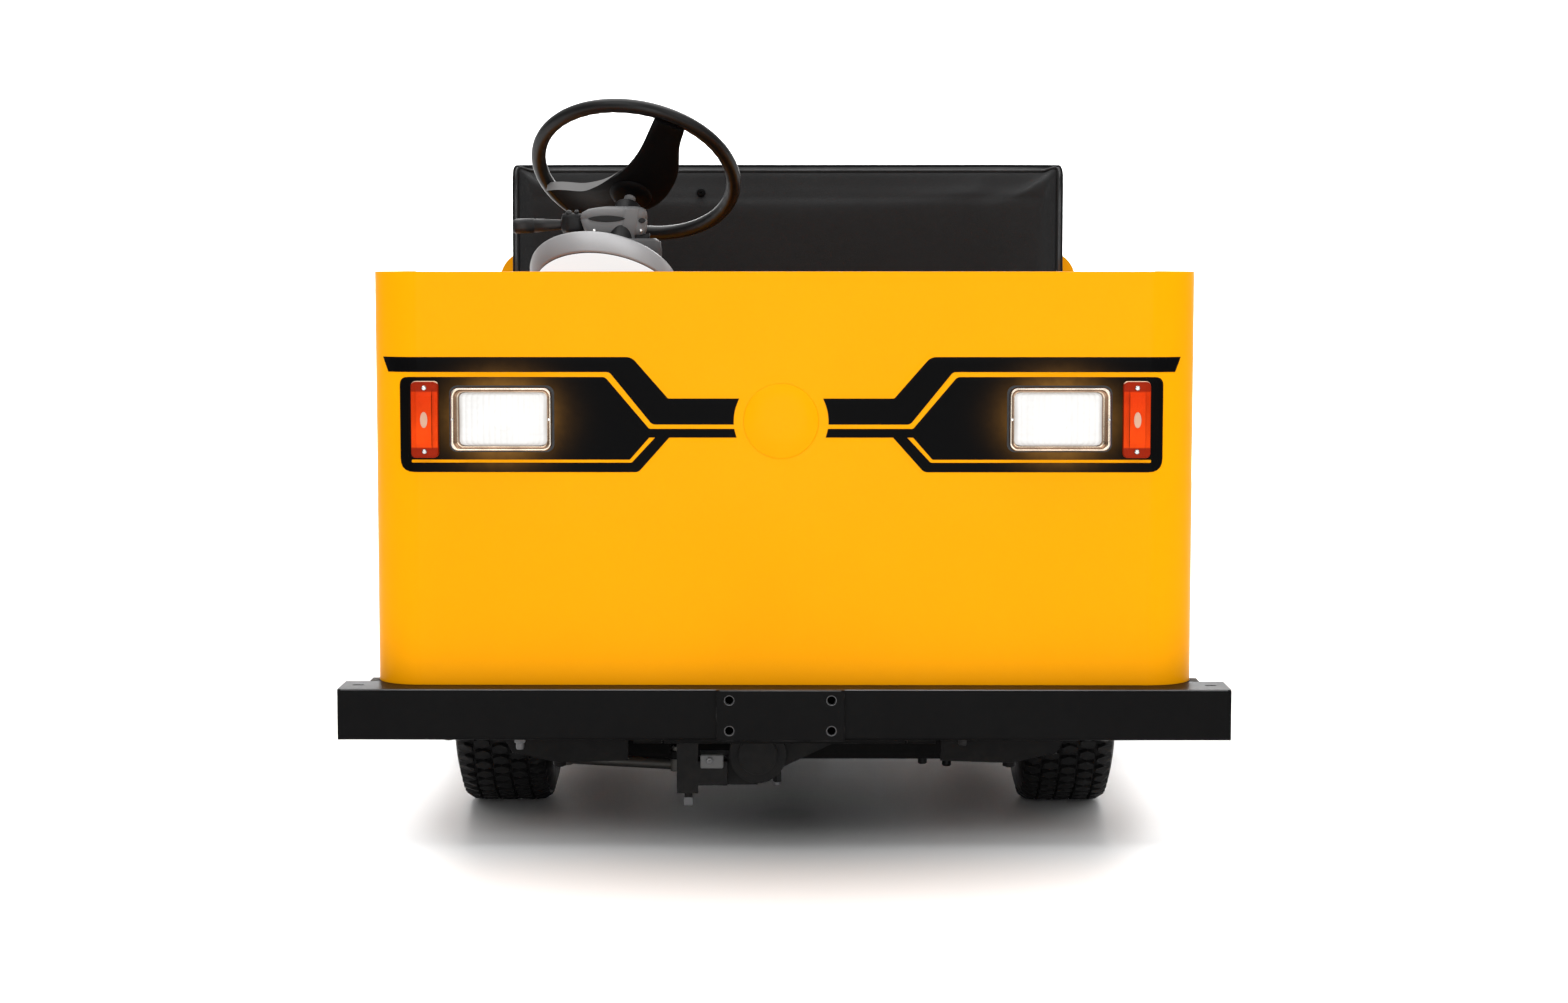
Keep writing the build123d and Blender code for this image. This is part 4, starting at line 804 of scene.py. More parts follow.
def headlamp_lens(name, middle, half_x, half_z, corner, swell):
    """A lens with rounded corners: its face bulges, with upright ribs and a few shelves across them."""
    columns = LENS_RIBS * 8
    points, faces = [], []
    for row in range(LENS_ROWS + 1):
        v = 2 * row / LENS_ROWS - 1
        for column in range(columns + 1):
            u = 2 * column / columns - 1
            edge = max(abs(u), abs(v))
            near = min(1.0, (1 - edge) / 0.10)
            ribs = RIB_DEEP * abs(math.sin(math.pi * LENS_RIBS * (u + 1) / 2)) * min(1.0, near * 1.5)
            shelf = 0.0007 * (0.5 + 0.5 * math.sin(math.pi * 7 * v)) * near if abs(u) > 0.55 else 0.0
            ring = 0.0010 * math.exp(-(((math.hypot(u * half_x, v * half_z) - 0.017) / 0.0022) ** 2))
            out = swell * (1 - 0.55 * u * u - 0.45 * v * v) * math.sqrt(max(0.0, near)) + ribs + shelf + ring
            into_corner = max(0.0, abs(v) * half_z - half_z + corner)
            x = u * (half_x - corner + math.sqrt(max(0.0, corner**2 - into_corner**2)))
            z = v * half_z * (1 + 0.02 * (1 - u * u))
            points.append((middle[0] + x, middle[1] - out, middle[2] + z))
    wide = columns + 1
    for row in range(LENS_ROWS):
        for column in range(columns):
            i = row * wide + column
            faces.append((i, i + 1, i + wide + 1, i + wide))
    return paint(from_points(name, points, faces), "lamp_lens")


# %% Headlamp frame
OUTER_CORNER, INNER_CORNER = 0.013, 0.0095
# Which chrome each band of the frame has, from the outside in: 0 bead, 1 warm painted reflection of the lamp,
# 2 pale painted highlight
FRAME_BANDS = (0, 0, 0, 2, 1, 1, 1, 2, 1, 1)
# Columns: share of the way from the outside to the opening, and how far it stands out
FRAME_PROFILE = (
    (-0.02, 0.0), (0.0, 0.5), (0.05, 0.86), (0.22, 1.0), (0.42, 0.97), (0.55, 0.86), (0.62, 0.80),
    (0.80, 0.80), (0.92, 0.74), (1.0, 0.55), (1.0, 0.25),
)


def headlamp_frame(name, middle, half_x, half_z, opening, proud):
    """The chrome frame: an outer bead, a flat, and a step down to the lens; opening is x0, x1, half_z."""
    x0, x1, open_z = opening
    open_x, shift = (x1 - x0) / 2, (x0 + x1) / 2
    rings = []
    for share, out in FRAME_PROFILE:
        x_half = half_x + (open_x - half_x) * share
        z_half = half_z + (open_z - half_z) * share
        corner = OUTER_CORNER + (INNER_CORNER - OUTER_CORNER) * min(1.0, max(0.0, share))
        outline = soft_rectangle(x_half, z_half, corner, 9, bulge=0.02)
        rings.append([(x + shift * share, -proud * out, z) for x, z in outline])
    frame_piece = ring_loft(name, rings, middle, close_last=False)
    for finish in ("bead_chrome", "lamp_reflection_chrome", "highlight_chrome"):
        paint(frame_piece, finish)
    for index, face in enumerate(frame_piece.data.polygons):
        face.material_index = FRAME_BANDS[index // len(rings[0])]
    return frame_piece


# %% Both headlamps
rim_low, rim_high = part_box("headlamp_rims")
LAMP_MIDDLE_X = (rim_low.x + rim_high.x) / 2
LAMP_Z = (rim_low.z + rim_high.z) / 2
LAMP_HALF_X = 0.172 / 2
LAMP_HALF_Z = (rim_high.z - rim_low.z) / 2
LAMP_OUT_X = (rim_high.x - rim_low.x) / 2 - LAMP_HALF_X
LAMP_PROUD = COWL_FRONT - rim_low.y
INNER_LIP, OUTER_LIP, END_LIP = 0.0085, 0.015, 0.0085
LENS_GAP, LENS_SWELL = 0.0003, 0.0085

frames, lenses, screws = [], [], []
for side, word in ((-1, "right"), (1, "left")):
    centre_x = LAMP_MIDDLE_X + side * LAMP_OUT_X
    inner, outer = -side * (LAMP_HALF_X - INNER_LIP), side * (LAMP_HALF_X - OUTER_LIP)
    opening = (min(inner, outer), max(inner, outer), LAMP_HALF_Z - END_LIP)
    frame_middle = (centre_x, COWL_FRONT, LAMP_Z)
    frames.append(
        headlamp_frame(f"lamp_frame_{word}", frame_middle, LAMP_HALF_X, LAMP_HALF_Z, opening, LAMP_PROUD)
    )
    lens_middle = (centre_x + (inner + outer) / 2, COWL_FRONT - LAMP_PROUD * 0.42, LAMP_Z)
    lenses.append(headlamp_lens(
        f"lamp_lens_{word}", lens_middle, (opening[1] - opening[0]) / 2 - LENS_GAP,
        LAMP_HALF_Z - END_LIP - LENS_GAP, INNER_CORNER - LENS_GAP, LENS_SWELL,
    ))
    for edge in (-1, 1):
        place = (centre_x + edge * (LAMP_HALF_X - 0.004), COWL_FRONT - LAMP_PROUD * 0.93, LAMP_Z)
        screws.append(pan_screw("lamp_screw", place, 0.0026, 0.0018, "bead_chrome"))
lamp_frames = join("headlamp_frames", frames + screws)
lamp_lenses = join("headlamp_glasses", lenses)
for piece, node, slot in (
    (lamp_frames, "headlamp_rims", "bright_trim"), (lamp_lenses, "headlamp_lenses", "lamp_lens"),
):
    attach(piece, "root")
    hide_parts(node)
print("headlamps", round(LAMP_HALF_X * 2, 3), "by", round(LAMP_HALF_Z * 2, 3), "m")

# %% Lamps' glow on the vinyl
GLOW_WIDE, GLOW_HIGH = 0.064, 0.052


def lit_vinyl():
    """The stripes' black vinyl with a warm glow that fades with the distance from each lamp's middle."""
    material = MATERIALS["decal_black"].copy()
    material.name = "lit_vinyl"
    tree = material.node_tree
    shader = tree.nodes["Principled BSDF"]
    place = split(tree, coordinates(tree))
    out = math_node(tree, "ABSOLUTE", math_node(tree, "SUBTRACT", place["X"], LAMP_MIDDLE_X))
    across = math_node(tree, "DIVIDE", math_node(tree, "SUBTRACT", out, LAMP_OUT_X), GLOW_WIDE)
    lift = math_node(tree, "DIVIDE", math_node(tree, "SUBTRACT", place["Z"], LAMP_Z), GLOW_HIGH)
    squares = math_node(
        tree, "ADD", math_node(tree, "MULTIPLY", across, across), math_node(tree, "MULTIPLY", lift, lift)
    )
    fade = math_node(tree, "POWER", 2.718, math_node(tree, "MULTIPLY", squares, -1.0))
    tree.links.new(fade, shader.inputs["Emission Strength"])
    warm = place_group(tree, PATCHES, Colour=(0.80, 0.36, 0.065, 1), Scale=60.0, Amount=0.25)
    tree.links.new(warm["Colour"], shader.inputs["Emission Color"])
    return material


MATERIALS["lit_vinyl"] = lit_vinyl()
for sheet in bpy.data.objects:
    if sheet.name.startswith(("upper_stripe", "lamp_panel")):
        sheet.data.materials[0] = MATERIALS["lit_vinyl"]
print("vinyl glows round the lamps")

# %% [markdown]
# ## Side markers
#
# The tall orange markers are one clear moulding each, with sunken ends for the screws and a small oval
# window in the middle. The form is a loft through soft rectangles, and the sunken ends come from lowering
# the points near each end, which gives the slanted shoulders of the real moulding.

# %% Marker material
def marker_plastic():
    """Clear orange moulding, brighter in its lower half and with a faint glow of its colours. Painted shade
    darkens its sunken ends and its side flanks, and a painted highlight pales its upward faces.
    """
    material, tree, shader = start_material(
        "marker_orange", 0.4, Specular_IOR_Level=0.06, Emission_Strength=0.05
    )
    height = split(tree, coordinates(tree, "Generated"))["Z"]
    middle = math_node(tree, "ABSOLUTE", math_node(tree, "SUBTRACT", height, 0.5))
    # Painted shade: darker at the sunken ends and on the flanks that face sideways
    ends = spread(tree, middle, 0.355, 0.375)
    lower = spread(tree, height, 0.75, 0.35)
    body = mix_colour(tree, lower, (0.64, 0.036, 0.001, 1), (0.80, 0.058, 0.002, 1))
    facing = split(tree, normals(tree))
    flank = spread(tree, math_node(tree, "ABSOLUTE", facing["X"]), 0.3, 0.8)
    dark = math_node(tree, "MAXIMUM", ends, flank)
    shaded = mix_colour(tree, dark, body, (0.30, 0.016, 0.002, 1))
    # Painted highlight: faces that point up turn pale
    painted_highlight_mask = spread(tree, facing["Z"], 0.35, 0.7)
    lit = mix_colour(tree, painted_highlight_mask, shaded, (0.95, 0.68, 0.50, 1))
    tone = place_group(tree, PATCHES, Colour=lit, Scale=30.0, Amount=0.18)
    tree.links.new(tone["Colour"], shader.inputs["Base Color"])
    tree.links.new(tone["Colour"], shader.inputs["Emission Color"])
    ridges = tree.nodes.new("ShaderNodeTexWave")
    ridges.bands_direction = "X"
    ridges.inputs["Scale"].default_value = 90.0
    tree.links.new(coordinates(tree), ridges.inputs["Vector"])
    add_bump(tree, shader, ridges.outputs["Fac"], 0.0004, 0.25)
    return material


MATERIALS["marker_orange"] = marker_plastic()

# %% Both markers
marker_low, marker_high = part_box("marker_lamps")
MARKER_HALF_X = 0.046 / 2
MARKER_HALF_Z = (marker_high.z - marker_low.z) / 2
MARKER_Z = (marker_high.z + marker_low.z) / 2
MARKER_PROUD = COWL_FRONT - marker_low.y
MARKER_OUT_X = (marker_high.x - marker_low.x) / 2 - MARKER_HALF_X
FACE_INSET = 0.010
ENDS_SUNK = 0.007
SHOULDER_AT, SHOULDER_LONG = 0.74, 0.06
# Columns: how far in from the outline, and how far it stands out as a share of the whole
FLANK = ((0.0, 0.0), (0.0, 0.55), (0.0006, 0.72), (0.003, 0.92), (0.006, 0.99), (FACE_INSET, 1.0))
# The face's rows and columns as shares of its half sizes
FACE_ROWS = (
    -1, -0.92, -SHOULDER_AT - 0.02, -SHOULDER_AT + 0.06, SHOULDER_AT - 0.06, SHOULDER_AT + 0.02, 0.92, 1,
)
FACE_COLUMNS = (-1, -0.5, 0, 0.5, 1)


def marker(name, middle):
    """A marker's moulding as two meshes: its flanks as a loft, and its face as a grid with sunken ends."""
    rings = []
    for inset, out in FLANK:
        ring = []
        corner = max(0.002, 0.008 - inset)
        for x, z in soft_rectangle(MARKER_HALF_X - inset, MARKER_HALF_Z - inset, corner, 6):
            sunk = min(1.0, max(0.0, (abs(z) / MARKER_HALF_Z - SHOULDER_AT) / SHOULDER_LONG))
            ring.append((x, -MARKER_PROUD * out + ENDS_SUNK * sunk * min(1.0, inset / 0.003), z))
        rings.append(ring)
    body = ring_loft(name, rings, middle, close_last=False)
    half_x, half_z = MARKER_HALF_X - FACE_INSET, MARKER_HALF_Z - FACE_INSET
    points, faces = [], []
    for v in FACE_ROWS:
        sunk = min(1.0, max(0.0, (abs(v) * half_z / MARKER_HALF_Z - SHOULDER_AT + 0.04) / SHOULDER_LONG))
        for u in FACE_COLUMNS:
            points.append(Vector(middle) + Vector((u * half_x, -MARKER_PROUD + ENDS_SUNK * sunk, v * half_z)))
    wide = len(FACE_COLUMNS)
    for row in range(len(FACE_ROWS) - 1):
        for i in range(row * wide, row * wide + wide - 1):
            faces.append((i, i + 1, i + wide + 1, i + wide))
    return [body, from_points(name + "_face", points, faces)]


WINDOW_HALF_X, WINDOW_HALF_Z = 0.0062, 0.0135
marker_parts = []
for side, word in ((-1, "right"), (1, "left")):
    middle = (LAMP_MIDDLE_X + side * MARKER_OUT_X, COWL_FRONT, MARKER_Z)
    for part in marker("marker_" + word, middle):
        marker_parts.append(paint(part, "marker_orange"))
    oval = [(WINDOW_HALF_X * x, WINDOW_HALF_Z * z) for x, z in circle(1.0, 24)]
    window = flat_sheet("marker_window", [oval], 0.0008)
    window.data.transform(Matrix.Translation((middle[0], COWL_FRONT - MARKER_PROUD + 0.0001, MARKER_Z)))
    marker_parts.append(paint(window, "marker_window"))
    for edge in (-1, 1):
        place = (middle[0], COWL_FRONT - MARKER_PROUD + ENDS_SUNK, MARKER_Z + edge * MARKER_HALF_Z * 0.83)
        marker_parts.append(pan_screw("marker_screw", place, 0.0044, 0.0026, "bead_chrome"))
markers = join("side_markers", marker_parts)
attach(markers, "root")
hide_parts("marker_lamps")
print("markers stand out", round(MARKER_PROUD, 3))

# %% [markdown]
# ## Steering wheel
#
# The wheel is one moulding of soft black plastic over a steel core. Two broad arms meet in a boomerang over
# the hub, set below the rim, and each arm widens into the rim at its end. Boxes for arms would show as
# boxes, so the boomerang is drawn as a flat outline in the wheel's own plane and each point is lowered
# towards the hub on a smooth bowl. The rim is a swept circle whose underside has finger grips.


# %% The wheel's own plane
WHEEL_CENTRE = Vector((-0.281, cad_box[0][1] + 0.600, 1.162))
AXIS_UP, AXIS_SIDE = math.radians(52), math.radians(13)
WHEEL_AXIS = Vector((
    math.cos(AXIS_UP) * math.sin(AXIS_SIDE),
    math.cos(AXIS_UP) * math.cos(AXIS_SIDE),
    math.sin(AXIS_UP),
))
WHEEL_ACROSS = Vector((WHEEL_AXIS.y, -WHEEL_AXIS.x, 0)).normalized()
WHEEL_FORWARD = WHEEL_AXIS.cross(WHEEL_ACROSS)
WHEEL_R = 0.199
RIM_TUBE_R = 0.0138
HUB_DROP = 0.047


def on_wheel(x, up, lift=0.0):
    """A point of the wheel: x across, up towards the rim's top, lift along the column towards the driver."""
    return WHEEL_CENTRE + WHEEL_ACROSS * x - WHEEL_FORWARD * up + WHEEL_AXIS * lift


print("wheel's axis", [round(v, 3) for v in WHEEL_AXIS])

# %% Rim
RIM_STEPS, TUBE_STEPS = 144, 20
GRIP_COUNT = 48
GRIP_DEEP = 0.0007


def wheel_rim():
    """A swept circle, a little flattened towards the driver, with finger grips on its inner side below."""
    middle_r = WHEEL_R - RIM_TUBE_R
    rings = []
    for i in range(RIM_STEPS):
        around = math.tau * i / RIM_STEPS
        ring = []
        for j in range(TUBE_STEPS):
            turn = math.tau * j / TUBE_STEPS
            below = max(0.0, -math.sin(turn)) * max(0.0, -math.cos(turn)) * 2
            grip = GRIP_DEEP * below * (0.5 + 0.5 * math.cos(GRIP_COUNT * around))
            tube = RIM_TUBE_R * (1 - 0.04 * math.sin(turn) ** 2) - grip
            r = middle_r + tube * math.cos(turn)
            ring.append(on_wheel(r * math.sin(around), r * math.cos(around), tube * math.sin(turn)))
        rings.append(ring)
    points = [p for ring in rings for p in ring]
    faces = [(a, d, c, b) for a, b, c, d in ring_faces(RIM_STEPS, TUBE_STEPS, closed=True)]
    return from_points("wheel_rim", points, faces)


# %% Boomerang hub
# The boomerang's two edges in the wheel's plane, from the upper arm's end to the side arm's. Columns are x
# and up. The long hollow edge faces up and to the truck's right. The angles are where an edge meets the
# rim, hollow edge first, in degrees from straight up.
ARM_UP_ANGLES = (25.0, 44.0)
ARM_SIDE_ANGLES = (-98.0, -124.0)
HOLLOW_POINTS = (
    (0.040, 0.102), (0.015, 0.072), (-0.006, 0.054), (-0.028, 0.038), (-0.068, 0.012), (-0.112, -0.012),
)
ROUND_POINTS = (
    (0.106, 0.084), (0.093, 0.028), (0.071, -0.010), (0.050, -0.034), (0.022, -0.056), (-0.020, -0.076),
    (-0.075, -0.094),
)
ARM_ROWS, ARM_COLUMNS = 48, 12
ARM_THICK = 0.010
BORDER_WIDE = 0.008
LINE_STEPS = 24


def rim_point(angle):
    turn = math.radians(angle)
    reach = WHEEL_R - RIM_TUBE_R * 1.4
    return Vector((reach * math.sin(turn), reach * math.cos(turn)))


def smooth_line(points, count):
    """A smooth line through points in the wheel's plane, as count + 1 evenly spaced points."""
    padded = [points[0] * 2 - points[1]] + points + [points[-1] * 2 - points[-2]]
    dense = []
    for a, b, c, d in zip(padded, padded[1:], padded[2:], padded[3:]):
        for step in range(LINE_STEPS):
            t = step / LINE_STEPS
            squared, cubed = (2 * a - 5 * b + 4 * c - d) * t**2, (3 * b - a - 3 * c + d) * t**3
            dense.append(0.5 * (2 * b + (c - a) * t + squared + cubed))
    dense.append(points[-1])
    lengths = [0.0]
    for a, b in zip(dense, dense[1:]):
        lengths.append(lengths[-1] + (b - a).length)
    line, index = [], 0
    for step in range(count + 1):
        wanted = lengths[-1] * step / count
        while index < len(dense) - 2 and lengths[index + 1] < wanted:
            index += 1
        share = (wanted - lengths[index]) / max(1e-9, lengths[index + 1] - lengths[index])
        line.append(dense[index].lerp(dense[index + 1], min(1.0, max(0.0, share))))
    return line


def arm_edge(index, points):
    """One edge of the boomerang as a smooth line from rim to rim: index 0 is the hollow one."""
    ends = rim_point(ARM_UP_ANGLES[index]), rim_point(ARM_SIDE_ANGLES[index])
    return smooth_line([ends[0]] + [Vector(p) for p in points] + [ends[1]], ARM_ROWS)


def bowl(point):
    """How far below the rim the boomerang's upper face lies: deep at the hub, level at the rim."""
    share = min(1.0, point.length / (WHEEL_R - 2 * RIM_TUBE_R))
    eased = share * share * (3 - 2 * share)
    return -HUB_DROP * (1 - eased) - 0.004 * eased


def boomerang():
    """A thick shell between its two edges; its border rolls down and its middle is dished."""
    top, bottom = [], []
    for a, b in zip(arm_edge(0, HOLLOW_POINTS), arm_edge(1, ROUND_POINTS)):
        for column in range(ARM_COLUMNS + 1):
            share = column / ARM_COLUMNS
            point = a.lerp(b, share)
            border = min(share, 1 - share) * (b - a).length
            roll = 0.0045 * (1 - min(1.0, border / BORDER_WIDE)) ** 2
            dish = 0.003 * min(1.0, max(0.0, border - 0.010) / 0.006)
            level = bowl(point)
            top.append(on_wheel(point.x, point.y, level - roll - dish))
            underside_level = level - ARM_THICK - 0.004 * min(1.0, border / BORDER_WIDE)
            bottom.append(on_wheel(point.x, point.y, underside_level))
    wide = ARM_COLUMNS + 1
    count = len(top)
    faces = []
    for row in range(ARM_ROWS):
        for column in range(ARM_COLUMNS):
            i = row * wide + column
            faces.append((i, i + wide, i + wide + 1, i + 1))
            faces.append((count + i, count + i + 1, count + i + wide + 1, count + i + wide))
        for i, flip in ((row * wide, True), (row * wide + ARM_COLUMNS, False)):
            side_face = (i, i + wide, count + i + wide, count + i)
            faces.append(side_face[::-1] if flip else side_face)
    for i0 in (0, ARM_ROWS * wide):
        for column in range(ARM_COLUMNS):
            i = i0 + column
            faces.append((i, i + 1, count + i + 1, count + i))
    return from_points("boomerang", top + bottom, faces)


# %% Light wall of the hollow edge
STRIP_DEEP = 0.020


def hollow_strip():
    """The pale side of the boomerang's hollow edge: deep at the side arm's end, gone before the upper arm."""
    line = arm_edge(0, HOLLOW_POINTS)
    points = []
    for i, point in enumerate(line):
        along = (line[min(i + 1, ARM_ROWS)] - line[max(i - 1, 0)]).normalized()
        aside = point + Vector((-along.y, along.x)) * -0.0008
        share = min(1.0, max(0.0, (i / ARM_ROWS - 0.42) / 0.34))
        deep = STRIP_DEEP * share * share * (3 - 2 * share)
        level = bowl(point) - 0.0025
        for lift in (level, level - deep * 0.15, level - deep):
            points.append(on_wheel(aside.x, aside.y, lift))
    faces = []
    for i in range(ARM_ROWS):
        for j in range(2):
            a = 3 * i + j
            faces.append((a, a + 1, a + 4, a + 3))
    return paint(from_points("hollow_strip", points, faces), "strip_grey")


# %% Hub, boss and shaft
def turned(name, profile, sides=48, fluted=0, flute=0.0):
    """A body turned about the wheel's axis: profile is (radius, lift); fluted is how many grooves it has."""
    rings = []
    for r, lift in profile:
        ring = []
        for i in range(sides):
            turn = math.tau * i / sides
            reach = r * (1 - flute * (0.5 + 0.5 * math.cos(fluted * turn))) if fluted else r
            ring.append(on_wheel(reach * math.sin(turn), reach * math.cos(turn), lift))
        rings.append(ring)
    return ring_loft(name, rings)


hub_level = -HUB_DROP
steering_parts = [wheel_rim(), boomerang()]
steering_parts.append(turned("horn_button", (
    (0.030, hub_level - 0.006), (0.030, hub_level + 0.001), (0.028, hub_level + 0.003),
    (0.0265, hub_level + 0.002), (0.026, hub_level + 0.004), (0.020, hub_level + 0.0065),
    (0.010, hub_level + 0.0075),
)))
steering_parts.append(turned("hub_boss", (
    (0.040, hub_level - ARM_THICK), (0.038, hub_level - 0.014), (0.030, hub_level - 0.017),
    (0.014, hub_level - 0.018), (0.011, hub_level - 0.018),
)))
for part, finish in zip(steering_parts, ("wheel_black", "hub_black", "wheel_black", "hub_black")):
    paint(part, finish)
steering_parts.append(hollow_strip())
shaft = turned("wheel_shaft", (
    (0.0108, hub_level - 0.012), (0.0108, hub_level - 0.022), (0.0100, hub_level - 0.023),
    (0.0100, hub_level - 0.026), (0.0108, hub_level - 0.027), (0.0108, -0.192),
), fluted=12, flute=0.04)
steering_parts.append(paint(shaft, "switch_grey"))
wheel = join("steering_wheel_moulding", steering_parts)
sharp = wheel.modifiers.new("edges", "EDGE_SPLIT")
sharp.split_angle = math.radians(50)
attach(wheel, "steering_wheel")
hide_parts("steering_wheel")
print("steering wheel", 2 * WHEEL_R, "m across")

# %% [markdown]
# ## Tyres
#
# A small industrial tyre has a round sidewall with rings and a crown of small blocks. The carcass is one
# profile turned about the axle. The blocks are six-sided, with tapered flanks, and stand on the crown in
# five rows round the tyre, every second row half a block further on. Carving the same grooves out of the
# carcass with booleans would be slower and leave ragged meshes.


# %% Rubber material
def tyre_rubber():
    """Dull black rubber: greyer at rubbed edges and speckled with dust all over, with fine moulding grain."""
    material, tree, shader = start_material("tyre_rubber", 0.62, Specular_IOR_Level=0.2)
    tone = place_group(tree, PATCHES, Colour=(0.0060, 0.0060, 0.0063, 1), Scale=9.0, Amount=0.3)
    edges = place_group(tree, EDGES, Radius=0.0018, Amount=0.5, Scale=40.0)
    scuffed = mix_colour(tree, edges["Mask"], tone["Colour"], (0.022, 0.021, 0.020, 1))
    speckle = spread(tree, noise(tree, 55.0, 8.0), 0.45, 0.8)
    dusty = math_node(tree, "MULTIPLY", speckle, 0.07)
    tree.links.new(mix_colour(tree, dusty, scuffed, (0.07, 0.062, 0.052, 1)), shader.inputs["Base Color"])
    rough = math_node(tree, "ADD", math_node(tree, "MULTIPLY", speckle, 0.2), 0.52)
    tree.links.new(rough, shader.inputs["Roughness"])
    height = place_group(tree, GRAIN, Scale=500.0, Waviness=0.8)["Height"]
    add_bump(tree, shader, height, 0.0003, normal=edges["Normal"])
    return material


MATERIALS["tyre_rubber"] = tyre_rubber()

# %% Tyre sizes from the frame
tyre_low, tyre_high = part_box("front_left_tyre")
TYRE_R = (tyre_high.z - tyre_low.z) / 2
BEAD_R = 0.1524
BLOCK_HIGH = 0.009
BLOCK_COUNT = 62
# Columns: distance from the middle plane and radius, from the bead to the crown's middle. Pairs close
# together make the rings on the sidewall.
SIDEWALL = (
    (0.0576, BEAD_R), (0.0590, 0.158), (0.0578, 0.1665), (0.0640, 0.1690), (0.0700, 0.1735),
    (0.0745, 0.1790), (0.0742, 0.1815), (0.0768, 0.1835), (0.0798, 0.1920), (0.0822, 0.2040),
    (0.0818, 0.2060), (0.0834, 0.2085), (0.0838, 0.2200), (0.0834, 0.2300), (0.0822, 0.2390),
    (0.0800, 0.2470), (0.0760, 0.2540), (0.0690, 0.2590), (0.0600, 0.2606), (0.0400, 0.2610),
    (0.0200, 0.2610), (0.0000, 0.2610),
)
TURN_STEPS = 132


def carcass():
    """The tyre's body as a turned profile about the X axis, closed along the beads."""
    profile = list(SIDEWALL) + [(-x, r) for x, r in reversed(SIDEWALL[:-1])]
    points = []
    for i in range(TURN_STEPS):
        turn = math.tau * i / TURN_STEPS
        points += [(x, r * math.sin(turn), r * math.cos(turn)) for x, r in profile]
    return points, ring_faces(TURN_STEPS, len(profile), closed=True)


# %% Tread blocks
# A block is a six-sided outline, its corners towards the next blocks: columns are distance from the row's
# middle and share of the block's pitch round the tyre
HEX_BLOCK = ((-0.0145, -0.22), (0.0, -0.45), (0.0145, -0.22), (0.0145, 0.22), (0.0, 0.45), (-0.0145, 0.22))
ROW_PITCH = 0.0315
ROWS = (-2, -1, 0, 1, 2)
BLOCK_PITCH = math.tau / BLOCK_COUNT
TAPER = 0.0012
FOOT_SUNK = 0.002
SHOULDER_X = 0.058


def crown_radius(x, top):
    """The crown's height at a distance from the middle: flat, then rounded off at the shoulder."""
    past = max(0.0, abs(x) - SHOULDER_X)
    level = TYRE_R if top else TYRE_R - BLOCK_HIGH
    return level - past * past * (26 if top else 22)


def tread_block(outline, start):
    """One block at a turn of the tyre: a tapered prism on the crown, its foot sunk in the carcass."""
    middle_x = sum(x for x, _ in outline) / len(outline)
    middle_s = sum(s for _, s in outline) / len(outline)
    points = []
    for top in (False, True):
        for x, share in outline:
            if top:
                x += math.copysign(TAPER, middle_x - x) if abs(middle_x - x) > 1e-6 else 0.0
                share += math.copysign(TAPER / (BLOCK_PITCH * TYRE_R), middle_s - share)
            r = crown_radius(x, top) - (0.0 if top else FOOT_SUNK)
            turn = start + share * BLOCK_PITCH
            points.append((x, r * math.sin(turn), r * math.cos(turn)))
    count = len(outline)
    faces = [tuple(range(count, 2 * count))]
    for i in range(count):
        after = (i + 1) % count
        faces.append((i, after, count + after, count + i))
    return points, faces


def tread():
    """All blocks of one tyre, every second row half a block further on."""
    points, faces = [], []
    for i in range(BLOCK_COUNT):
        for row in ROWS:
            outline = [(row * ROW_PITCH + x, share) for x, share in HEX_BLOCK]
            block_points, block_faces = tread_block(outline, (i + row % 2 / 2) * BLOCK_PITCH)
            faces += [tuple(len(points) + k for k in face) for face in block_faces]
            points += block_points
    return points, faces


# %% Tyre mesh, once
body_points, body_faces = carcass()
block_points, block_faces = tread()
tyre_mesh = bpy.data.meshes.new("tyre")
tyre_mesh.from_pydata(
    body_points + block_points, [], body_faces + [tuple(len(body_points) + k for k in f) for f in block_faces]
)
tyre_mesh.update()
for index, face in enumerate(tyre_mesh.polygons):
    face.use_smooth = index < len(body_faces)
tyre_mesh.materials.append(MATERIALS["tyre_rubber"])
clean = bmesh.new()
clean.from_mesh(tyre_mesh)
bmesh.ops.recalc_face_normals(clean, faces=clean.faces)
clean.to_mesh(tyre_mesh)
clean.free()
print("tyre:", len(tyre_mesh.polygons), "faces")

# %% Four tyres in place
WHEELS = ("front_left", "front_right", "rear_left", "rear_right")


def at_wheel(wheel_name):
    """Where a piece made for a left wheel goes: the wheel's centre, turned round on the truck's right."""
    low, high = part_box(wheel_name + "_tyre")
    out = 1 if "left" in wheel_name else -1
    return Matrix.Translation((low + high) / 2) @ Matrix.Diagonal((out, out, 1, 1))


for wheel_name in WHEELS:
    mesh = tyre_mesh.copy()
    mesh.transform(at_wheel(wheel_name))
    tyre_piece = add_object(wheel_name + "_treaded_tyre", mesh)
    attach(tyre_piece, wheel_name + "_wheel")
    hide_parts(wheel_name + "_tyre")
print("tyres", round(2 * TYRE_R, 3), "m across")

# %% [markdown]
# ## Bench: back and cushion
#
# Both pads are foam in black vinyl. A rounded box would look like a block of rubber, because its faces
# would be flat right up to the edge. A cover filled from inside bulges instead, and a cloth simulation does
# exactly this: the pad starts a little small, air pressure swells it, and the side that lies on its board
# is held still. The sewn lines come afterwards, as grooves pressed into the skin and piping laid along its
# borders.


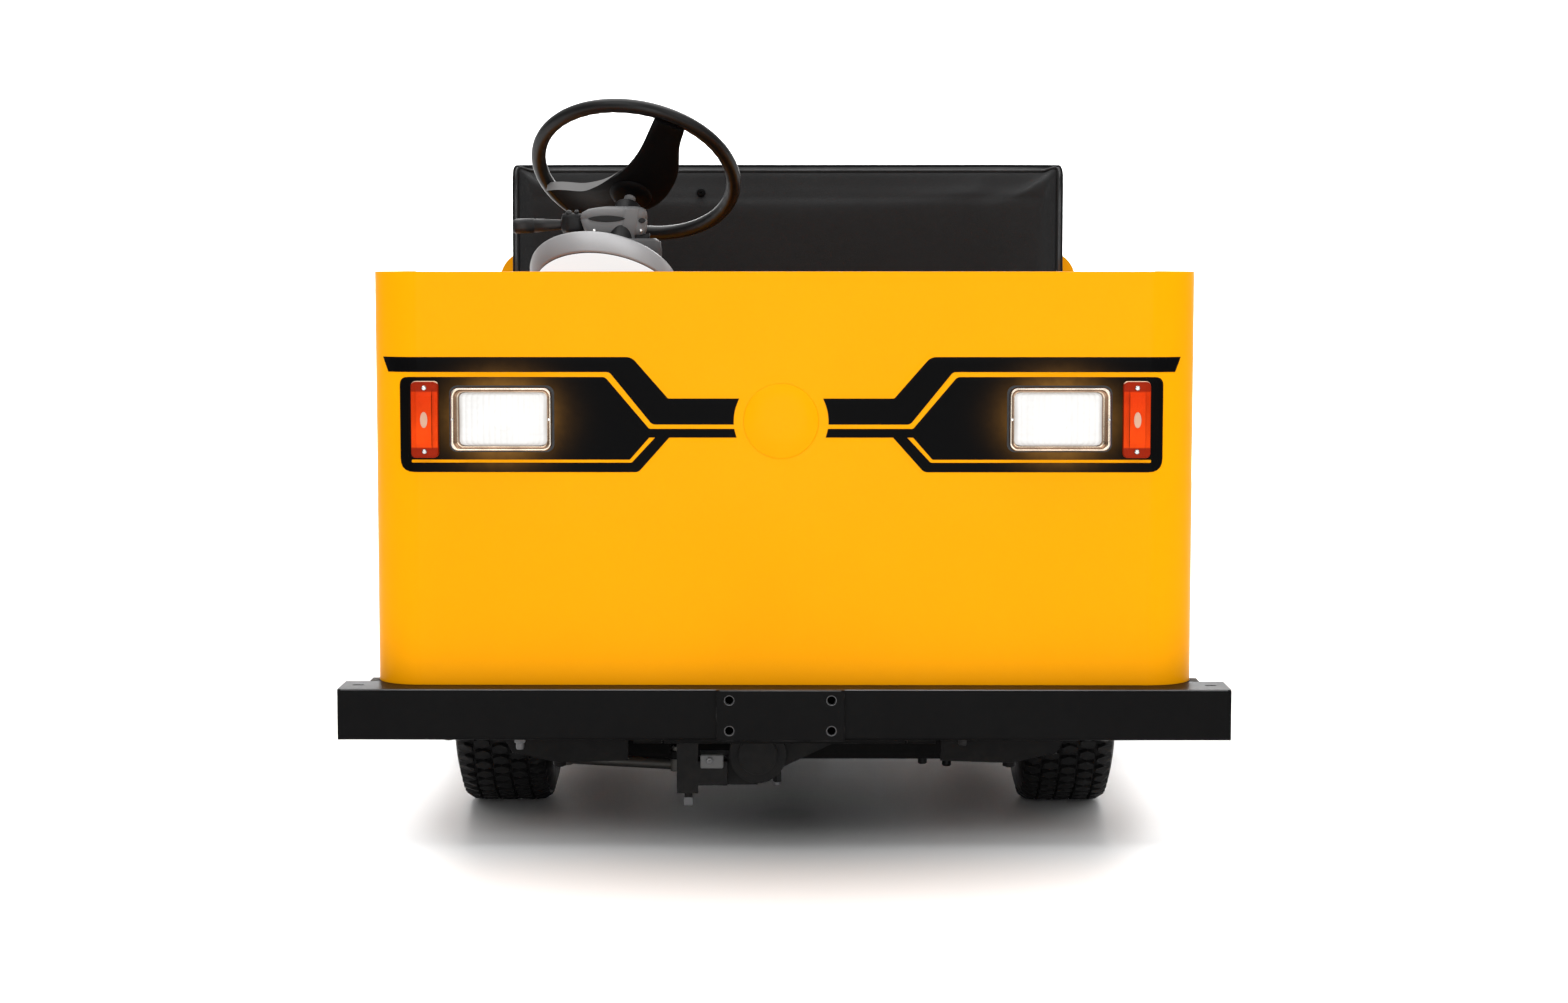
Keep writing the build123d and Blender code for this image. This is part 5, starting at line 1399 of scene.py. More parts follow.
# %% Vinyl
def seat_vinyl():
    """Black coated cloth: pebbled leather grain in cells, fine creases, and a dull gloss."""
    material, tree, shader = start_material("seat_vinyl", 0.46, Specular_IOR_Level=0.2)
    tone = place_group(tree, PATCHES, Colour=(0.0062, 0.0064, 0.0070, 1), Scale=5.0, Amount=0.22)
    settled = place_group(tree, DUST, Amount=0.012, Height=0.9)
    dusty = mix_colour(tree, settled["Mask"], tone["Colour"], DUST_COLOUR)
    tree.links.new(dusty, shader.inputs["Base Color"])
    rough = math_node(tree, "ADD", math_node(tree, "MULTIPLY", tone["Mask"], 0.12), 0.42)
    tree.links.new(rough, shader.inputs["Roughness"])
    pebbles = tree.nodes.new("ShaderNodeTexVoronoi")
    pebbles.feature = "DISTANCE_TO_EDGE"
    pebbles.inputs["Scale"].default_value = 420.0
    tree.links.new(coordinates(tree), pebbles.inputs["Vector"])
    cells = spread(tree, pebbles.outputs["Distance"], 0.0, 0.25)
    creases = math_node(tree, "MULTIPLY", noise(tree, 22.0, 5.0), 1.6)
    add_bump(tree, shader, math_node(tree, "ADD", cells, creases), 0.0004, 0.8)
    return material


MATERIALS["seat_vinyl"] = seat_vinyl()

# %% Padded forms
PAD_VOXEL = 0.009
PAD_SMALLER = 0.006
SWELL_FRAMES = 20
PRESSURE = 4.0
MOST_SWELL = 0.014
STRETCH_STIFFNESS, BENDING_STIFFNESS = 25, 4
BOARD_GAP = 0.0005
BOARD_SKIN = 0.012
WELT_R = 0.0032


def pad_block(name, low, high, corner):
    """A rounded box between two corners, remeshed into even quads."""
    shape = bmesh.new()
    size, middle = high - low, (high + low) / 2
    bmesh.ops.create_cube(shape, size=1.0, matrix=Matrix.Translation(middle) @ Matrix.Diagonal((*size, 1)))
    bmesh.ops.bevel(shape, geom=list(shape.edges), offset=corner, segments=5, profile=0.5, affect="EDGES")
    mesh = bpy.data.meshes.new(name)
    shape.to_mesh(mesh)
    shape.free()
    pad = link(name, mesh)
    remesh = pad.modifiers.new("even", "REMESH")
    remesh.mode = "VOXEL"
    remesh.voxel_size = PAD_VOXEL
    settle_modifiers(pad)
    return pad


def settle_modifiers(piece):
    """Replace a piece's mesh by what its modifiers make of it."""
    bpy.context.view_layer.update()
    evaluated = piece.evaluated_get(bpy.context.evaluated_depsgraph_get())
    mesh = bpy.data.meshes.new_from_object(evaluated)
    piece.modifiers.clear()
    piece.data = mesh


def swell(pad, held):
    """Fill a pad from inside; held(point) is true for the skin that lies on a board."""
    rest = [vertex.co.copy() for vertex in pad.data.vertices]
    pins = pad.vertex_groups.new(name="held")
    pins.add([i for i, point in enumerate(rest) if held(point)], 1.0, "REPLACE")
    cloth = pad.modifiers.new("cloth", "CLOTH")
    cloth.settings.vertex_group_mass = "held"
    cloth.settings.use_pressure = True
    cloth.settings.uniform_pressure_force = PRESSURE
    cloth.settings.tension_stiffness = STRETCH_STIFFNESS
    cloth.settings.compression_stiffness = STRETCH_STIFFNESS
    cloth.settings.bending_stiffness = BENDING_STIFFNESS
    cloth.settings.effector_weights.gravity = 0
    cloth.collision_settings.use_collision = False
    for frame_number in range(1, SWELL_FRAMES + 1):
        bpy.context.scene.frame_set(frame_number)
    evaluated = pad.evaluated_get(bpy.context.evaluated_depsgraph_get())
    swollen = [vertex.co.copy() for vertex in evaluated.data.vertices]
    pad.modifiers.clear()
    pad.vertex_groups.clear()
    bpy.context.scene.frame_set(1)
    furthest = 0.0
    for vertex, before, after in zip(pad.data.vertices, rest, swollen):
        move = after - before
        furthest = max(furthest, move.length)
        if move.length > MOST_SWELL:
            move *= MOST_SWELL / move.length
        vertex.co = before + move
    print(pad.name, "swelled by up to", round(furthest, 4))


def press_seams(pad, distance_to_seam, out, deep, wide):
    """Press grooves into the skin that faces out; distance_to_seam(point) is measured to the nearest seam."""
    for vertex in pad.data.vertices:
        facing = vertex.normal.dot(out)
        if facing > 0.2:
            near = math.exp(-((distance_to_seam(vertex.co) / wide) ** 2))
            vertex.co -= out * deep * near * facing


def smooth_out(pad):
    subdivision = pad.modifiers.new("smooth", "SUBSURF")
    subdivision.levels = subdivision.render_levels = 1
    settle_modifiers(pad)
    for face in pad.data.polygons:
        face.use_smooth = True


# %% Piping
def tube_along(name, line, radius, closed=True, sides=8):
    """A tube through points, with its rings square to the line."""
    count = len(line)
    rings, previous = [], Vector((0, 0, 1))
    for i, here in enumerate(line):
        after = line[(i + 1) % count] if closed else line[min(i + 1, count - 1)]
        before = line[i - 1] if closed or i else line[0]
        along = (after - before).normalized()
        across = previous - along * previous.dot(along)
        if across.length < 1e-4:
            across = along.orthogonal()
        across.normalize()
        previous = across
        over = along.cross(across)
        rings.append([
            here + (across * math.cos(math.tau * j / sides) + over * math.sin(math.tau * j / sides)) * radius
            for j in range(sides)
        ])
    points = [p for ring in rings for p in ring]
    faces = ring_faces(count, sides, closed)
    if not closed:
        faces += [tuple(range(sides))[::-1], tuple(range((count - 1) * sides, count * sides))]
    return from_points(name, points, faces)


def piping(name, pad, loop):
    """A welt laid on the pad's skin: each point of a loop moves to the nearest point of the skin."""
    line = []
    for point in loop:
        _, place, normal, _ = pad.closest_point_on_mesh(point)
        line.append(place + normal * WELT_R * 0.35)
    return paint(tube_along(name, line, WELT_R), "seat_vinyl")


def box_loop(corner_a, corner_b, axis, level, rounding, step=0.012):
    """A rounded rectangle between two corners in the plane where the axis has one level."""
    others = [i for i in range(3) if i != axis]
    half = [abs(corner_b[i] - corner_a[i]) / 2 for i in others]
    middle = [(corner_b[i] + corner_a[i]) / 2 for i in others]
    outline = soft_rectangle(half[0], half[1], rounding, 8)
    dense = []
    for (x0, z0), (x1, z1) in zip(outline, outline[1:] + outline[:1]):
        count = max(1, int(math.hypot(x1 - x0, z1 - z0) / step))
        dense += [(x0 + (x1 - x0) * t / count, z0 + (z1 - z0) * t / count) for t in range(count)]
    loop = []
    for a, b in dense:
        point = Vector((0, 0, 0))
        point[axis] = level
        point[others[0]], point[others[1]] = middle[0] + a, middle[1] + b
        loop.append(point)
    return loop


# %% Seat back
BACK_CORNER = 0.012
back_low, back_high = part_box("seat_back")
inset = Vector((PAD_SMALLER * 0.5, PAD_SMALLER, PAD_SMALLER * 0.5))
back_inset = Vector((inset.x, BOARD_GAP, inset.z))
seat_back = pad_block("bench_back", back_low + inset, back_high - back_inset, BACK_CORNER)
board_y = back_high.y - BOARD_SKIN
swell(seat_back, lambda point: point.y > board_y)
BACK_SEAM_IN = 0.075


def back_seam(point):
    """Two sewn lines across the back, one near its top and one near its foot."""
    return min(abs(point.z - (back_high.z - BACK_SEAM_IN)), abs(point.z - (back_low.z + BACK_SEAM_IN)))


press_seams(seat_back, back_seam, Vector((0, -1, 0)), 0.0022, 0.007)
smooth_out(seat_back)
paint(seat_back, "seat_vinyl")
welts = [
    piping("back_welt", seat_back, box_loop(back_low, back_high, 1, back_low.y + 0.010, 0.014)),
    piping("back_welt", seat_back, box_loop(back_low, back_high, 1, back_high.y - 0.014, 0.014)),
]
back_whole = join("bench_back_pad", [seat_back] + welts)
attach(back_whole, "root")
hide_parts("seat_back")
print("back", [round(v, 3) for v in back_high - back_low])

# %% Seat cushion
SEAT_CORNER = 0.024
seat_low, seat_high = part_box("seat_cushion")
inset = Vector((PAD_SMALLER * 0.5, PAD_SMALLER * 0.5, PAD_SMALLER))
seat_inset = Vector((inset.x, inset.y, BOARD_GAP))
cushion = pad_block("bench_cushion", seat_low + seat_inset, seat_high - inset, SEAT_CORNER)
lid_top = seat_low.z + BOARD_SKIN
swell(cushion, lambda point: point.z < lid_top)
SEAT_SEAM_X = 0.198
ROLL_DEEP = 0.070


def seat_seam(point):
    """Sewn lines from front to rear that part the bench into three places, and one across its front roll."""
    across = abs(abs(point.x) - SEAT_SEAM_X)
    roll = abs(point.y - (seat_low.y + ROLL_DEEP))
    return min(across if point.y > seat_low.y + ROLL_DEEP else 1.0, roll)


press_seams(cushion, seat_seam, Vector((0, 0, 1)), 0.004, 0.008)
smooth_out(cushion)
paint(cushion, "seat_vinyl")
welts = [
    piping("seat_welt", cushion, box_loop(seat_low, seat_high, 2, seat_high.z - 0.014, 0.035)),
    piping("seat_welt", cushion, box_loop(seat_low, seat_high, 2, seat_low.z + 0.010, 0.030)),
]
cushion_whole = join("bench_cushion_pad", [cushion] + welts)
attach(cushion_whole, "seat_lid")
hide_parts("seat_cushion")
print("cushion", [round(v, 3) for v in seat_high - seat_low])

# %% [markdown]
# ## Column switch and instrument drum
#
# Under the wheel a grey moulded housing is clamped to the column. It carries a turn-signal lever on the
# truck's right, and a dark cover sits below it. The forms are stacks of soft rectangles, so that the
# mouldings taper and their edges are round. The drum below is turned round the column's axis. Its wall is
# silver, its closed end towards the front is white, and two small plain dials face the driver.


# %% Stacked mouldings
FRONT_Y = cad_box[0][1]


def stacked(name, levels, finish, along_x=False):
    """A moulding through soft rectangles, with both its ends closed.

    The columns are height, x middle, depth middle, half width, half depth and corner. Along X they are x,
    depth middle, height middle, half depth, half height and corner. Depths start at the truck's front.
    """
    rings = []
    for level, first, second, half_a, half_b, corner in levels:
        outline = soft_rectangle(half_a, half_b, min(corner, half_a * 0.98, half_b * 0.98), 6)
        if along_x:
            rings.append([(level, FRONT_Y + first + a, second + b) for a, b in outline])
        else:
            rings.append([(first + a, FRONT_Y + second + b, level) for a, b in outline])
    piece = ring_loft(name, rings)
    shape = bmesh.new()
    shape.from_mesh(piece.data)
    shape.verts.ensure_lookup_table()
    shape.faces.new([shape.verts[i] for i in range(len(rings[0]))][::-1])
    bmesh.ops.recalc_face_normals(shape, faces=shape.faces)
    shape.to_mesh(piece.data)
    shape.free()
    for face in piece.data.polygons:
        face.use_smooth = len(face.vertices) == 4
    return paint(piece, finish)


def dark_slot(x, z, half_x, half_z):
    """A pointed oval in black, set in the switch housing's front face."""
    outline = [(half_x * a, half_z * b * abs(b) ** 0.4) for a, b in circle(1.0, 24)]
    piece = flat_sheet("switch_slot", [outline], SLOT_PROUD)
    piece.data.transform(Matrix.Translation((x, FRONT_Y + SLOT_DEPTH, z)))
    return paint(piece, "column_black")


# %% Switch housing
SLOT_DEPTH, SLOT_PROUD = 0.4918, 0.0010
HOUSING_LEVELS = (
    (1.0405, -0.3130, 0.526, 0.047, 0.028, 0.012), (1.0430, -0.3135, 0.526, 0.0525, 0.0325, 0.012),
    (1.0520, -0.3150, 0.526, 0.0568, 0.0338, 0.012), (1.0700, -0.3175, 0.526, 0.0605, 0.0338, 0.012),
    (1.0715, -0.3175, 0.526, 0.0592, 0.0325, 0.012), (1.0730, -0.3180, 0.526, 0.0612, 0.0338, 0.012),
    (1.0830, -0.3165, 0.526, 0.0590, 0.0330, 0.012), (1.0895, -0.3120, 0.526, 0.0520, 0.0300, 0.013),
    (1.0930, -0.3060, 0.526, 0.0390, 0.0240, 0.012), (1.0945, -0.3040, 0.526, 0.0300, 0.0180, 0.012),
)
switch_parts = [stacked("switch_housing", HOUSING_LEVELS, "switch_grey")]
switch_parts.append(stacked("column_clamp", (
    (1.0290, -0.2925, 0.526, 0.012, 0.0345, 0.003), (1.0300, -0.2925, 0.526, 0.0135, 0.0358, 0.003),
    (1.0880, -0.2825, 0.526, 0.0135, 0.0345, 0.003), (1.0905, -0.2825, 0.526, 0.012, 0.0330, 0.003),
), "switch_grey"))
switch_parts += [dark_slot(-0.3290, 1.0715, 0.034, 0.0058), dark_slot(-0.2640, 1.0680, 0.007, 0.0046)]
for x in (-0.352, -0.266):
    place = (x, FRONT_Y + 0.4924, 1.0500)
    switch_parts.append(pan_screw("switch_screw", place, 0.0032, 0.0018, "bead_chrome"))

# %% Lever with its mount
LEVER_LEVELS = (
    (-0.5045, 0.522, 1.0578, 0.0080, 0.0095, 0.006), (-0.5035, 0.522, 1.0578, 0.0098, 0.0118, 0.007),
    (-0.4980, 0.522, 1.0580, 0.0112, 0.0136, 0.009), (-0.4660, 0.522, 1.0594, 0.0112, 0.0134, 0.009),
    (-0.4650, 0.522, 1.0592, 0.0098, 0.0118, 0.008), (-0.4636, 0.522, 1.0592, 0.0098, 0.0118, 0.008),
    (-0.4625, 0.522, 1.0593, 0.0106, 0.0128, 0.009), (-0.4400, 0.522, 1.0600, 0.0098, 0.0112, 0.008),
    (-0.4180, 0.522, 1.0610, 0.0088, 0.0094, 0.007), (-0.4080, 0.522, 1.0618, 0.0086, 0.0090, 0.007),
)
MOUNT_LEVELS = (
    (-0.4140, 0.5225, 1.0630, 0.0100, 0.0120, 0.008), (-0.4120, 0.5225, 1.0635, 0.0150, 0.0170, 0.008),
    (-0.3980, 0.5225, 1.0645, 0.0172, 0.0190, 0.008), (-0.3840, 0.5225, 1.0640, 0.0165, 0.0180, 0.008),
    (-0.3690, 0.5225, 1.0640, 0.0150, 0.0160, 0.008),
)
switch_parts.append(stacked("signal_lever", LEVER_LEVELS, "lever_grey", along_x=True))
switch_parts.append(stacked("lever_mount", MOUNT_LEVELS, "column_black", along_x=True))
for x, z, radius in ((-0.400, 1.0820, 0.0062), (-0.386, 1.0832, 0.0048)):
    place = (x, FRONT_Y + 0.5130, z)
    switch_parts.append(pan_screw("mount_screw", place, radius, 0.004, "column_black", out=(0, -0.6, 0.8)))

# %% Cover below the switch
switch_parts.append(stacked("lower_cover", (
    (0.9500, -0.264, 0.495, 0.0330, 0.0230, 0.010), (0.9515, -0.264, 0.495, 0.0355, 0.0248, 0.010),
    (1.0150, -0.264, 0.495, 0.0358, 0.0249, 0.010), (1.0290, -0.264, 0.495, 0.0340, 0.0238, 0.012),
    (1.0355, -0.266, 0.495, 0.0270, 0.0200, 0.012),
), "cover_grey"))
switch_parts.append(stacked("cover_tab", (
    (1.0300, -0.275, 0.5075, 0.0245, 0.0072, 0.003), (1.0446, -0.275, 0.5075, 0.0245, 0.0072, 0.003),
), "column_black"))
switch = join("column_switchgear", switch_parts)
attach(switch, "root")
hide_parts("column_switch")
print("switch of", len(switch_parts), "mouldings")

# %% Instrument drum
POD_R = 0.139
POD_TOP, POD_END = -0.250, -0.304
DRUM_MIDDLE_R = 0.001
DRUM_SIDES = 120
# The drum leans to the truck's right as it rises: metres across for each metre of lift
DRUM_LEAN = 0.30
# Columns: radius and lift, from the middle over the driver's side and down the wall, then the white end
DRUM_WALL = (
    (DRUM_MIDDLE_R, POD_TOP), (0.118, POD_TOP), (0.124, POD_TOP + 0.0004), (0.1345, POD_TOP - 0.0010),
    (0.1375, POD_TOP - 0.0032), (POD_R, POD_TOP - 0.0080), (POD_R, POD_END + 0.0080),
    (0.1378, POD_END + 0.0050), (0.1360, POD_END + 0.0040),
)
DRUM_SEAM = ((0.1362, POD_END + 0.0042), (0.1362, POD_END + 0.0022))
DRUM_END = (
    (0.1360, POD_END + 0.0024), (0.1352, POD_END + 0.0010), (0.1320, POD_END), (0.060, POD_END - 0.0004),
    (DRUM_MIDDLE_R, POD_END),
)
drum_parts = []
for name, profile, finish in (
    ("drum_wall", DRUM_WALL, "drum_silver"), ("drum_seam", DRUM_SEAM, "column_black"),
    ("drum_end", DRUM_END, "drum_white"),
):
    rings = []
    for r, lift in profile:
        aside = DRUM_LEAN * (lift - POD_END)
        rings.append([on_wheel(x - aside, up, lift) for up, x in circle(r, DRUM_SIDES)])
    drum_parts.append(paint(ring_loft(name, rings, close_last=False), finish))

# %% Two plain dials
DIAL_R, DIAL_SIDES = 0.042, 48
DIAL_ACROSS = 0.078
DIAL_TURN, MARK_COUNT = 120, 13


def flat_on_drum(name, ring, x, lift, thickness, finish):
    """A thin plate on the drum's upper face: ring holds (x, up) points about the dial's middle."""
    count = len(ring)
    points = [on_wheel(x + a, b, level) for level in (lift, lift + thickness) for a, b in ring]
    faces = [tuple(range(count, 2 * count))] + ring_faces(2, count)
    return paint(from_points(name, points, faces, shade_smooth=False), finish)


def bar(inner, outer, half, turn):
    """A radial bar as four points: from inner to outer radius, at a turn from straight up."""
    along, over = (math.sin(turn), math.cos(turn)), (math.cos(turn), -math.sin(turn))
    return [
        (along[0] * r + over[0] * s * half, along[1] * r + over[1] * s * half)
        for r, s in ((inner, -1), (outer, -1), (outer, 1), (inner, 1))
    ]


for side in (-1, 1):
    x = side * DIAL_ACROSS - DRUM_LEAN * (POD_TOP - POD_END)
    pointer = bar(-DIAL_R * 0.2, DIAL_R * 0.78, 0.0011, math.radians(-DIAL_TURN if side < 0 else 70))
    # Columns: name, ring, start above the drum's face, thickness, finish
    plates = [
        ("dial_ring", circle(DIAL_R + 0.004, DIAL_SIDES), -0.0005, 0.0035, "bright_trim"),
        ("dial", circle(DIAL_R, DIAL_SIDES), -0.0005, 0.0038, "dial_face"),
    ]
    for mark in range(MARK_COUNT):
        turn = math.radians(-DIAL_TURN + 2 * DIAL_TURN / (MARK_COUNT - 1) * mark)
        reach, half = (0.74, 0.0010) if mark % 3 == 0 else (0.82, 0.0005)
        ring = bar(DIAL_R * reach, DIAL_R * 0.92, half, turn)
        plates.append(("dial_mark", ring, 0.0030, 0.0005, "pod_white"))
    plates += [
        ("pointer", pointer, 0.0036, 0.0006, "marker_orange"),
        ("pointer_cap", circle(0.005, 20), 0.0034, 0.0014, "column_black"),
    ]
    for name, ring, start, thickness, finish in plates:
        drum_parts.append(flat_on_drum(name, ring, x, POD_TOP + start, thickness, finish))
drum = join("instrument_drum", drum_parts)
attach(drum, "root")
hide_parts("instrument_pod")
print("drum", 2 * POD_R, "m across")

# %% [markdown]
# ## Deck plate, fasteners and the plain badge
#
# Small repeated things are worth modelling once and copying by a loop: the raised lozenges of the deck's
# tread plate, the button screws that hold the sheets, and pale rings on the chamfers of the bumper plate's
# holes, which are painted highlights. Each kind is joined into one piece, so that the scene stays light.


# %% Tread plate on the deck
LOZENGE_PITCH = 0.038
DECK_BORDER = 0.03
LOZENGE = ((0.013, 0), (0.006, 0.0034), (-0.006, 0.0034), (-0.013, 0), (-0.006, -0.0034), (0.006, -0.0034))
LOZENGE_RIDGE = ((0.007, 0), (-0.007, 0))
LOZENGE_FACES = ((0, 1, 6), (1, 2, 7, 6), (2, 3, 7), (3, 4, 7), (4, 5, 6, 7), (5, 0, 6))
LOZENGE_HIGH = 0.0012

deck_low, deck_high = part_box("deck")
points, faces = [], []
columns = int((deck_high.x - deck_low.x - DECK_BORDER) / LOZENGE_PITCH)
rows = int((deck_high.y - deck_low.y - DECK_BORDER) / LOZENGE_PITCH)
deck_middle = (deck_low + deck_high) / 2
for column in range(columns):
    for row in range(rows):
        x = deck_middle.x + (column - (columns - 1) / 2) * LOZENGE_PITCH
        y = deck_middle.y + (row - (rows - 1) / 2) * LOZENGE_PITCH
        tilt = math.radians(45 if (row + column) % 2 else -45)
        start = len(points)
        for level, ring in ((0.0, LOZENGE), (LOZENGE_HIGH, LOZENGE_RIDGE)):
            for a, b in ring:
                points.append((
                    x + a * math.cos(tilt) - b * math.sin(tilt),
                    y + a * math.sin(tilt) + b * math.cos(tilt),
                    deck_high.z + level,
                ))
        faces += [tuple(start + k for k in face) for face in LOZENGE_FACES]
lozenges = from_points("deck_lozenges", points, faces, shade_smooth=False)
paint(lozenges, "deck_steel")
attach(lozenges, "root")
print(columns * rows, "lozenges on the deck")

# %% Button screws along the sheets
SCREW_R, SCREW_HIGH = 0.0075, 0.0042
SCREWS_BELOW_EDGE, BULKHEAD_SCREW_X = 0.030, 0.55


def screw_row(start, end, count, out):
    """Button screws evenly from start to end, standing out along a direction."""
    places = [Vector(start).lerp(Vector(end), i / max(1, count - 1)) for i in range(count)]
    return [pan_screw("button_screw", place, SCREW_R, SCREW_HIGH, "screw_black", out=out) for place in places]


panel_low, panel_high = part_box("side_panels")
tail_low, tail_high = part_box("tail_panel")
wall_low, wall_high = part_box("bulkhead")
screws = []
for side in (-1, 1):
    x = panel_high.x if side > 0 else panel_low.x
    z = panel_high.z - SCREWS_BELOW_EDGE
    screws += screw_row((x, panel_low.y + 0.05, z), (x, panel_high.y - 0.05, z), 7, (side, 0, 0))
    for z in (wall_high.z - 0.09, wall_low.z + 0.22, wall_low.z + 0.05):
        place = (side * BULKHEAD_SCREW_X, wall_high.y, z)
        screws += screw_row(place, place, 1, (0, 1, 0))
z = tail_high.z - SCREWS_BELOW_EDGE
screws += screw_row((tail_low.x + 0.06, tail_high.y, z), (tail_high.x - 0.06, tail_high.y, z), 6, (0, 1, 0))
button_screws = join("button_screws", screws)
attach(button_screws, "root")
print(len(screws), "button screws")

# %% Plain disc at the badge's place
BADGE_R, BADGE_SIDES = 0.064, 96
disc_rings = []
# Columns: radius and how far it stands out
for r, out in ((BADGE_R, 0.0), (BADGE_R, 0.0009), (BADGE_R - 0.0012, 0.0016), (BADGE_R * 0.5, 0.0024)):
    disc_rings.append([(x, -out, z) for x, z in circle(r, BADGE_SIDES)])
badge = paint(ring_loft("plain_badge", disc_rings, (STRIPE_MIDDLE_X, COWL_FRONT, BADGE_Z)), "body_yellow")
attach(badge, "root")
print("badge", 2 * BADGE_R, "m across")

# %% Painted highlights on the bumper's edges and holes
bumper_low, bumper_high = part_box("front_bumper")
plate_low, plate_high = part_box("bumper_plate")
HOLE_R, HOLE_SIDES, HOLES_X, HOLES_Z = 0.007, 32, 0.173, 0.052
edge_parts = []
# Thin pale lines on the bumper's and plate's front top edges, and pale rings at the plate's holes, are
# painted highlights
for low, high in ((bumper_low, bumper_high), (plate_low, plate_high)):
    line = [Vector((x, low.y + 0.0009, high.z - 0.0009)) for x in (low.x + 0.006, high.x - 0.006)]
    edge_parts.append(tube_along("highlight_line", line, 0.0011, closed=False))
plate_middle = (plate_low + plate_high) / 2
for side in (-1, 1):
    for rise in (-1, 1):
        rings = []
        for r, out in ((HOLE_R - 0.0002, -0.0012), (HOLE_R + 0.0012, 0.0003), (HOLE_R + 0.0016, 0.0002)):
            rings.append([(x, -out, z) for x, z in circle(r, HOLE_SIDES)])
        middle = (plate_middle.x + side * HOLES_X / 2, plate_low.y, plate_middle.z + rise * HOLES_Z / 2)
        edge_parts.append(ring_loft("highlight_ring", rings, middle, close_last=False))
for part in edge_parts:
    paint(part, "bare_steel_and_highlight")
painted_highlights = join("painted_highlights", edge_parts)
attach(painted_highlights, "root")
print(len(edge_parts), "painted highlights on the bumper")

# %% [markdown]
# ## Small fasteners below the front
#
# The photograph shows bolt ends, a block with a fitting and a square-ended pin under the bumper. Each one
# hangs from the part above it, and a ray cast from below finds the face it starts from.


# %% Hanging fasteners
def underside(node, x, y):
    """The lowest face of a frame part above a place on the floor."""
    hit, place, _, _ = NODES[node].ray_cast((x, y, -1), (0, 0, 1))
    assert hit, (node, x, y)
    return place.z


def stud(x, y, start, length, radius, sides, finish):
    """A fastener hanging straight down: round or hexagonal, with a small chamfer at its end."""
    rings = []
    for r, z in ((radius, start + 0.001), (radius, start - length * 0.86), (radius * 0.8, start - length)):
        rings.append([(x + a, y + b, z) for a, b in circle(r, sides, math.pi / sides)])
    return paint(ring_loft("stud", rings, shade_smooth=False), finish)


BUMPER_BOLT_Y = bumper_low.y + 0.045
AXLE_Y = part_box("front_axle_beam")[0].y + 0.028
# Columns: part, x, y, length, radius, sides, finish
HANGING = (
    ("front_bumper", -0.574, BUMPER_BOLT_Y, 0.007, 0.0085, 6, "zinc_steel"),
    ("front_bumper", -0.452, BUMPER_BOLT_Y, 0.012, 0.0105, 6, "bare_steel_and_highlight"),
    ("front_bumper", -0.452, BUMPER_BOLT_Y, 0.023, 0.0070, 16, "bare_steel_and_highlight"),
    ("front_bumper", 0.305, BUMPER_BOLT_Y, 0.016, 0.0080, 6, "column_black"),
    ("front_bumper", 0.548, BUMPER_BOLT_Y, 0.007, 0.0085, 6, "zinc_steel"),
    ("front_axle_beam", -0.300, AXLE_Y, 0.006, 0.0125, 6, "column_black"),
    ("front_axle_beam", -0.300, AXLE_Y, 0.016, 0.0085, 16, "column_black"),
    ("front_axle_beam", -0.255, AXLE_Y, 0.014, 0.0085, 16, "column_black"),
    ("front_axle_beam", 0.255, AXLE_Y, 0.014, 0.0085, 16, "column_black"),
    ("front_axle_beam", 0.300, AXLE_Y, 0.006, 0.0125, 6, "column_black"),
    ("front_axle_beam", 0.300, AXLE_Y, 0.018, 0.0085, 16, "column_black"),
)
PIN_X, PIN_Y, PIN_HALF = -0.168, bumper_low.y + 0.149, 0.0078
BLOCK_X, BLOCK_Z = -0.1265, 0.123
fittings = []
for node, x, y, length, radius, sides, finish in HANGING:
    fittings.append(stud(x, y, underside(node, x, y), length, radius, sides, finish))

# %% Square pin, block and drain bolt
pin_low = underside("front_housing", PIN_X, PIN_Y)
pin_rings = []
for half, z in ((PIN_HALF, pin_low + 0.013), (PIN_HALF, pin_low), (PIN_HALF * 0.8, pin_low - 0.002)):
    pin_rings.append([
        (PIN_X + a, PIN_Y + b, z) for a, b in ((-half, -half), (half, -half), (half, half), (-half, half))
    ])
fittings.append(paint(ring_loft("pin_end", pin_rings, shade_smooth=False), "bare_steel_and_highlight"))
housing_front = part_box("front_housing")[0].y
block_rings = []
for y, grow in ((0.001, 0.0), (-0.005, 0.0), (-0.0065, -0.0015)):
    block_rings.append([
        (BLOCK_X + a, housing_front + y, BLOCK_Z + b)
        for a, b in soft_rectangle(0.0200 + grow, 0.0120 + grow, 0.003, 4)
    ])
fittings.append(paint(ring_loft("light_block", block_rings, shade_smooth=False), "strip_grey"))
place = (BLOCK_X - 0.004, housing_front - 0.0065, BLOCK_Z + 0.003)
fittings.append(pan_screw("block_nut", place, 0.0065, 0.005, "drum_silver", sides=6))
DRAIN_X, DRAIN_Y = -0.013, housing_front + 0.040
drain_low = underside("front_housing", DRAIN_X, DRAIN_Y)
fittings.append(stud(DRAIN_X, DRAIN_Y, drain_low, 0.016, 0.0085, 6, "column_black"))
fittings.append(stud(DRAIN_X, DRAIN_Y, drain_low - 0.015, 0.006, 0.0055, 16, "bare_steel_and_highlight"))
front_fittings = join("front_fittings", fittings)
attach(front_fittings, "root")
print(len(fittings), "small fasteners below the front")

# %% Button on the seat's back
# The photograph shows one small dark button high on the cover's front face
BUTTON_X, BUTTON_Z = -0.184, 1.139
back_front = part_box("seat_back")[0].y
place = (BUTTON_X, back_front - 0.003, BUTTON_Z)
button = pan_screw("back_button", place, 0.0095, 0.007, "hub_black", sides=20)
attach(button, "root")

